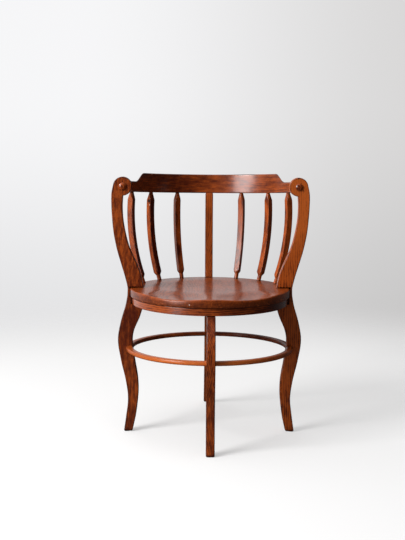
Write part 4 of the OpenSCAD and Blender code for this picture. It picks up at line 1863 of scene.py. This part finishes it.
@dataclass(frozen=True)
class Room:
    """The brightness of a room's sides, which add up along a ray.

    Base is the dark sides', back is added straight behind the chair, up
    overhead and left at the left, each growing between two cosines of the
    ray's angle with that direction. Behind the chair the right is dimmer. The
    window is a low bright patch, 50 degrees to the left of the front.
    """

    base: float
    back: float
    up: float
    left: float
    window: float = 0.0
    window_at: tuple[float, float, float] = (-0.7586, -0.6365, 0.139)
    window_rim: Span = (0.94, 0.985)
    back_fades: Span = (-0.25, 0.75)
    up_fades: Span = (0.25, 1.0)
    left_fades: Span = (-0.1, 0.9)
    right_from: Span = (0.02, 0.10)
    right_dim: float = 0.9
    blue: float = 1.01

    def colour(self, graph: Graph, ray: tuple[Value, Value, Value]) -> Value:
        """The room's colour in the direction of a ray.

        Args:
            graph: the world's graph.
            ray: the ray's direction, as x, y and z.

        Returns:
            The colour.
        """
        x, y, z = ray
        behind = y.over(*self.back_fades) * (1 - x.over(*self.right_from) * self.right_dim)
        glow = behind * self.back + z.over(*self.up_fades) * self.up
        glow = glow + (x * -1.0).over(*self.left_fades) * self.left + self.base
        wx, wy, wz = self.window_at
        glow = glow + (x * wx + y * wy + z * wz).over(*self.window_rim) * self.window
        return graph.node("ShaderNodeCombineColor", {}, {0: glow, 1: glow, 2: glow * self.blue})


@dataclass(frozen=True)
class Lamp:
    """A square soft lamp that faces the chair.

    Its azimuth is in degrees to the right of the chair's front, its elevation
    in degrees above the floor, its distance and size in metres, and its power
    in watts.
    """

    name: str
    azimuth: float
    elevation: float
    distance: float
    size: float
    watts: float
    target: tuple[float, float, float] = (0.0, 0.0, 0.45)

    def build(self) -> None:
        """Adds the lamp."""
        data = bpy.data.lights.new(self.name, "AREA")
        data.shape = "SQUARE"
        data.size = self.size
        data.energy = self.watts
        lamp = add_object(self.name, data)
        a, e = math.radians(self.azimuth), math.radians(self.elevation)
        out = Vector((math.sin(a) * math.cos(e), -math.cos(a) * math.cos(e), math.sin(e)))
        lamp.location = Vector(self.target) + out * self.distance
        lamp.rotation_euler = (-out).to_track_quat("-Z", "Y").to_euler()


@dataclass(frozen=True)
class View:
    """The camera, in front of the chair and a little over its crest.

    Its place is in metres from the chair's axis, its turns are in radians.
    """

    place: tuple[float, float, float] = (-0.0502, -2.8418, 0.8657)
    yaw: float = 0.00964
    pitch: float = 0.12848
    roll: float = -0.00666
    lens: float = 63.33
    sensor: float = 36.0

    def build(self, axis_y: float) -> None:
        """Adds the camera and looks through it.

        Args:
            axis_y: where the chair's axis stands, in metres.
        """
        data = bpy.data.cameras.new("camera")
        data.sensor_width = self.sensor
        data.sensor_fit = "AUTO"
        data.lens = self.lens
        camera = add_object("camera", data)
        bpy.context.scene.camera = camera
        cy, sy = math.cos(self.yaw), math.sin(self.yaw)
        cp, sp = math.cos(self.pitch), math.sin(self.pitch)
        cr, sr = math.cos(self.roll), math.sin(self.roll)
        ahead, right = Vector((sy * cp, cy * cp, -sp)), Vector((cy, -sy, 0.0))
        down = ahead.cross(right)
        level, below = right * cr + down * sr, down * cr - right * sr
        x, y, z = self.place
        camera.location = (x, axis_y + y, z)
        camera.rotation_euler = Matrix((level, -below, -ahead)).transposed().to_euler()


@dataclass(frozen=True)
class Studio:
    """A pale floor that melts into a pale background, in a room lit from the left.

    The camera sees the pale sweep, which grows dimmer to the right and by the
    wall's drop towards its foot. Diffuse and glossy rays see a room that is
    bright behind the chair, overhead and to the left, and dark in front of it
    and to the right.
    """

    axis_y: float
    wall_left: Colour = (0.925, 0.925, 0.937)
    wall_right: Colour = (0.690, 0.682, 0.680)
    wall_fades: Span = (-0.13, 0.26)
    wall_drops: Span = (-0.06, 0.22)
    wall_drop: float = 0.17
    floor_seen: Colour = (0.86, 0.857, 0.855)
    floor_lighting: Colour = (0.32, 0.31, 0.30)
    floor_mirrored: Colour = (0.03, 0.03, 0.03)
    floor_white: Colour = (1.0, 0.995, 0.99)
    floor_r: float = 6.0
    fade_from: float = 1.0
    fade_to: float = 2.6
    lift: float = 0.41
    mirrored: Room = Room(base=0.012, back=0.80, up=0.16, left=0.12, window=8.0)
    lighting: Room = Room(base=0.03, back=0.12, up=0.40, left=0.75)
    lamps: tuple[Lamp, ...] = (
        Lamp("window", azimuth=-56, elevation=27, distance=3.6, size=1.5, watts=150),
        Lamp("ceiling", azimuth=-20, elevation=80, distance=3.4, size=2.2, watts=20),
    )

    def build_world(self) -> None:
        """Mixes the sweep that the camera sees with the rooms of the other rays."""
        world = bpy.data.worlds.new("studio")
        bpy.context.scene.world = world
        world.use_nodes = True
        graph = Graph(world.node_tree)
        ray = graph.split(graph.node("ShaderNodeTexCoord", output="Generated"))
        x, y, z = ray
        ahead = (y * y) ** 0.5
        side = (x / ahead).over(*self.wall_fades)
        fall = 1 - (z / ahead * -1.0).over(*self.wall_drops) * self.wall_drop
        sweep = graph.mix(side, self.wall_left, self.wall_right)
        sweep = graph.node("ShaderNodeVectorMath", {"operation": "SCALE"}, {0: sweep, "Scale": fall})
        seen, mirrored, lit = (
            graph.node("ShaderNodeBackground", {}, {"Color": colour, "Strength": 1.0})
            for colour in (sweep, self.mirrored.colour(graph, ray), self.lighting.colour(graph, ray))
        )
        both = graph.blend(graph.ray_is("Glossy"), lit, mirrored)
        both = graph.blend(graph.ray_is("Camera"), both, seen)
        graph.node("ShaderNodeOutputWorld", {}, {"Surface": both})

    def build_floor(self) -> None:
        """A disc whose far part lets the background through."""
        angle = np.linspace(0, 2 * math.pi, 97)[:-1]
        rim = np.stack([np.cos(angle), np.sin(angle), 0 * angle], axis=1) * self.floor_r
        mesh = bpy.data.meshes.new("studio_floor")
        mesh.from_pydata(rim.tolist(), [], [list(range(len(rim)))])
        floor = add_object("studio_floor", mesh)
        material, graph = new_material("pale_floor")
        reach = graph.node(
            "ShaderNodeVectorMath", {"operation": "LENGTH"}, {0: graph.here()}, output="Value"
        )
        camera = graph.ray_is("Camera")
        paint = graph.mix(graph.ray_is("Glossy"), self.floor_lighting, self.floor_mirrored)
        paint = graph.mix(camera, paint, self.floor_seen)
        matt = graph.node("ShaderNodeBsdfDiffuse", {}, {"Color": paint})
        white = graph.node("ShaderNodeEmission", {}, {"Color": self.floor_white, "Strength": 1.0})
        clear = graph.node("ShaderNodeBsdfTransparent", {}, {"Color": (1.0, 1.0, 1.0)})
        near = graph.blend(camera * self.lift, matt, white)
        both = graph.blend(reach.over(self.fade_from, self.fade_to), near, clear)
        graph.node("ShaderNodeOutputMaterial", {}, {"Surface": both})
        dress(floor, material)

    def build(self) -> None:
        """Builds the world, the floor, the lamps and the camera."""
        self.build_world()
        self.build_floor()
        for lamp in self.lamps:
            lamp.build()
        View().build(self.axis_y)
        bpy.context.scene.view_settings.view_transform = "Standard"


# ---- The whole chair ------------------------------------------------------

NICK = Mark((-0.0610, -0.2690, 0.4300), 1.9 * MM, (0.62, 0.48, 0.42))
BLEMISH = Mark((-0.1915, 0.1420, 0.6960), 7.0 * MM, (0.016, 0.004, 0.002))
# A painted glint: a pale spot where the dark blemish catches the light.
PAINTED_GLINT = Mark((-0.1905, 0.1390, 0.6835), 2.4 * MM, (0.50, 0.38, 0.33))
FINISHES = {
    "oak_seat": OakFinish(
        "seat_oak", ring_strength=0.2, mottle=0.5, speckle=1.2, coat=0.45, coat_roughness=0.19,
        bump=0.5, marks=(NICK,),
    ),
    "oak_bent": OakFinish("bent_oak", edge_grime=0.25, coat=0.8, coat_roughness=0.19),
    "oak_board": OakFinish("board_oak", ring_strength=0.7, mottle=2.7, joined=True),
    "oak_spindle": OakFinish(
        "spindle_oak", cut=Cut.QUARTER_SAWN, coat_roughness=0.24, joined=True, marks=(BLEMISH, PAINTED_GLINT)
    ),
    "oak_button": OakFinish("button_oak", cut=Cut.FLAT_SAWN, coat=0.8),
    "screw_steel": ScrewSteel(),
}


# The spindles' places from the middle, with their tint, the painted shade on their face towards the
# chair's axis and their gloss, and in degrees from straight back the first one's angle and the step to
# the next.
SPINDLES = (
    (-3, 0.1, 1.6, 0.15),
    (-2, 0.1, 1.6, 0.15),
    (-1, -0.1, 0.2, 0.3),
    (1, 0.0, 0.0, 0.74),
    (2, 0.15, 0.0, 0.4),
    (3, 0.3, 0.0, 0.1),
)
FIRST_SPINDLE = 23.3
SPINDLE_STEP = 22.0
HOOP_W, HOOP_H = 20 * MM, 13 * MM


def build_chair(plan: Plan) -> None:
    """Builds every wooden piece in the order that it shows from the floor up.

    Args:
        plan: the chair's plan.
    """
    sizes = BoardSizes()
    rail = CrestRail(plan, sizes.rail_t)
    Seat(plan).build()
    # The apron and the hoop carry painted light: each is made lighter on the side towards the window
    # lamp and darker, as painted shade, on the side away from it.
    BentRing(
        plan, "bent_apron_ring", "apron_ring", outer_r=plan.apron_ro, width=sizes.apron_t,
        low=plan.apron_bottom, height=plan.seat_under - plan.apron_bottom,
        rounding=1.8 * MM, shift=(0.44, 0.012, 0.03), tint=-0.5, light_swing=0.75,
        lit_side_at=math.radians(-95),
    ).build()
    BentRing(
        plan, "bent_hoop_stretcher", "hoop_stretcher", outer_r=plan.hoop_outer_r, width=HOOP_W,
        low=plan.hoop_z - HOOP_H / 2, height=HOOP_H, rounding=4.5 * MM,
        tilt=math.radians(1.3), shift=(0.71, 0.03, -0.02), tint=0.3, light_swing=0.95,
        gloss=0.52, gloss_swing=0.85,
    ).build()
    ChairBoards(plan, sizes, rail).build()
    rail.build()
    for number, (turn, *look) in enumerate(SPINDLES, start=1):
        degrees = FIRST_SPINDLE + (abs(turn) - 1) * SPINDLE_STEP
        angle = math.copysign(math.radians(degrees), turn)
        Spindle(plan, rail, number, angle, *look).build()
    Button(plan, -1, "left_scroll_button").build()
    Button(plan, 1, "right_scroll_button").build()


def dress_all(frame: dict, plan: Plan) -> None:
    """Gives each piece and each kept node the finish of its material slot.

    Args:
        frame: the loaded frame.
        plan: the chair's plan.
    """
    materials = {slot: finish.build(plan) for slot, finish in FINISHES.items()}
    slots = {part["node"]: part["material_slot"] for part in frame["record"]["subparts"]}
    for name, node in frame["nodes"].items():
        dress(node, materials[slots[name]])
    for piece in bpy.data.objects:
        slot = piece.get("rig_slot")
        if slot and piece.type == "MESH":
            dress(piece, materials[slot])


def main() -> None:
    """Builds the chair round the frame, and the studio round the chair."""
    logging.basicConfig(level=logging.INFO, format="%(name)s %(message)s")
    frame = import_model()
    plan = Plan.from_frame()
    build_chair(plan)
    dress_all(frame, plan)
    Studio(plan.axis_y).build()
    bpy.context.view_layer.update()


if __name__ == "__main__":
    main()
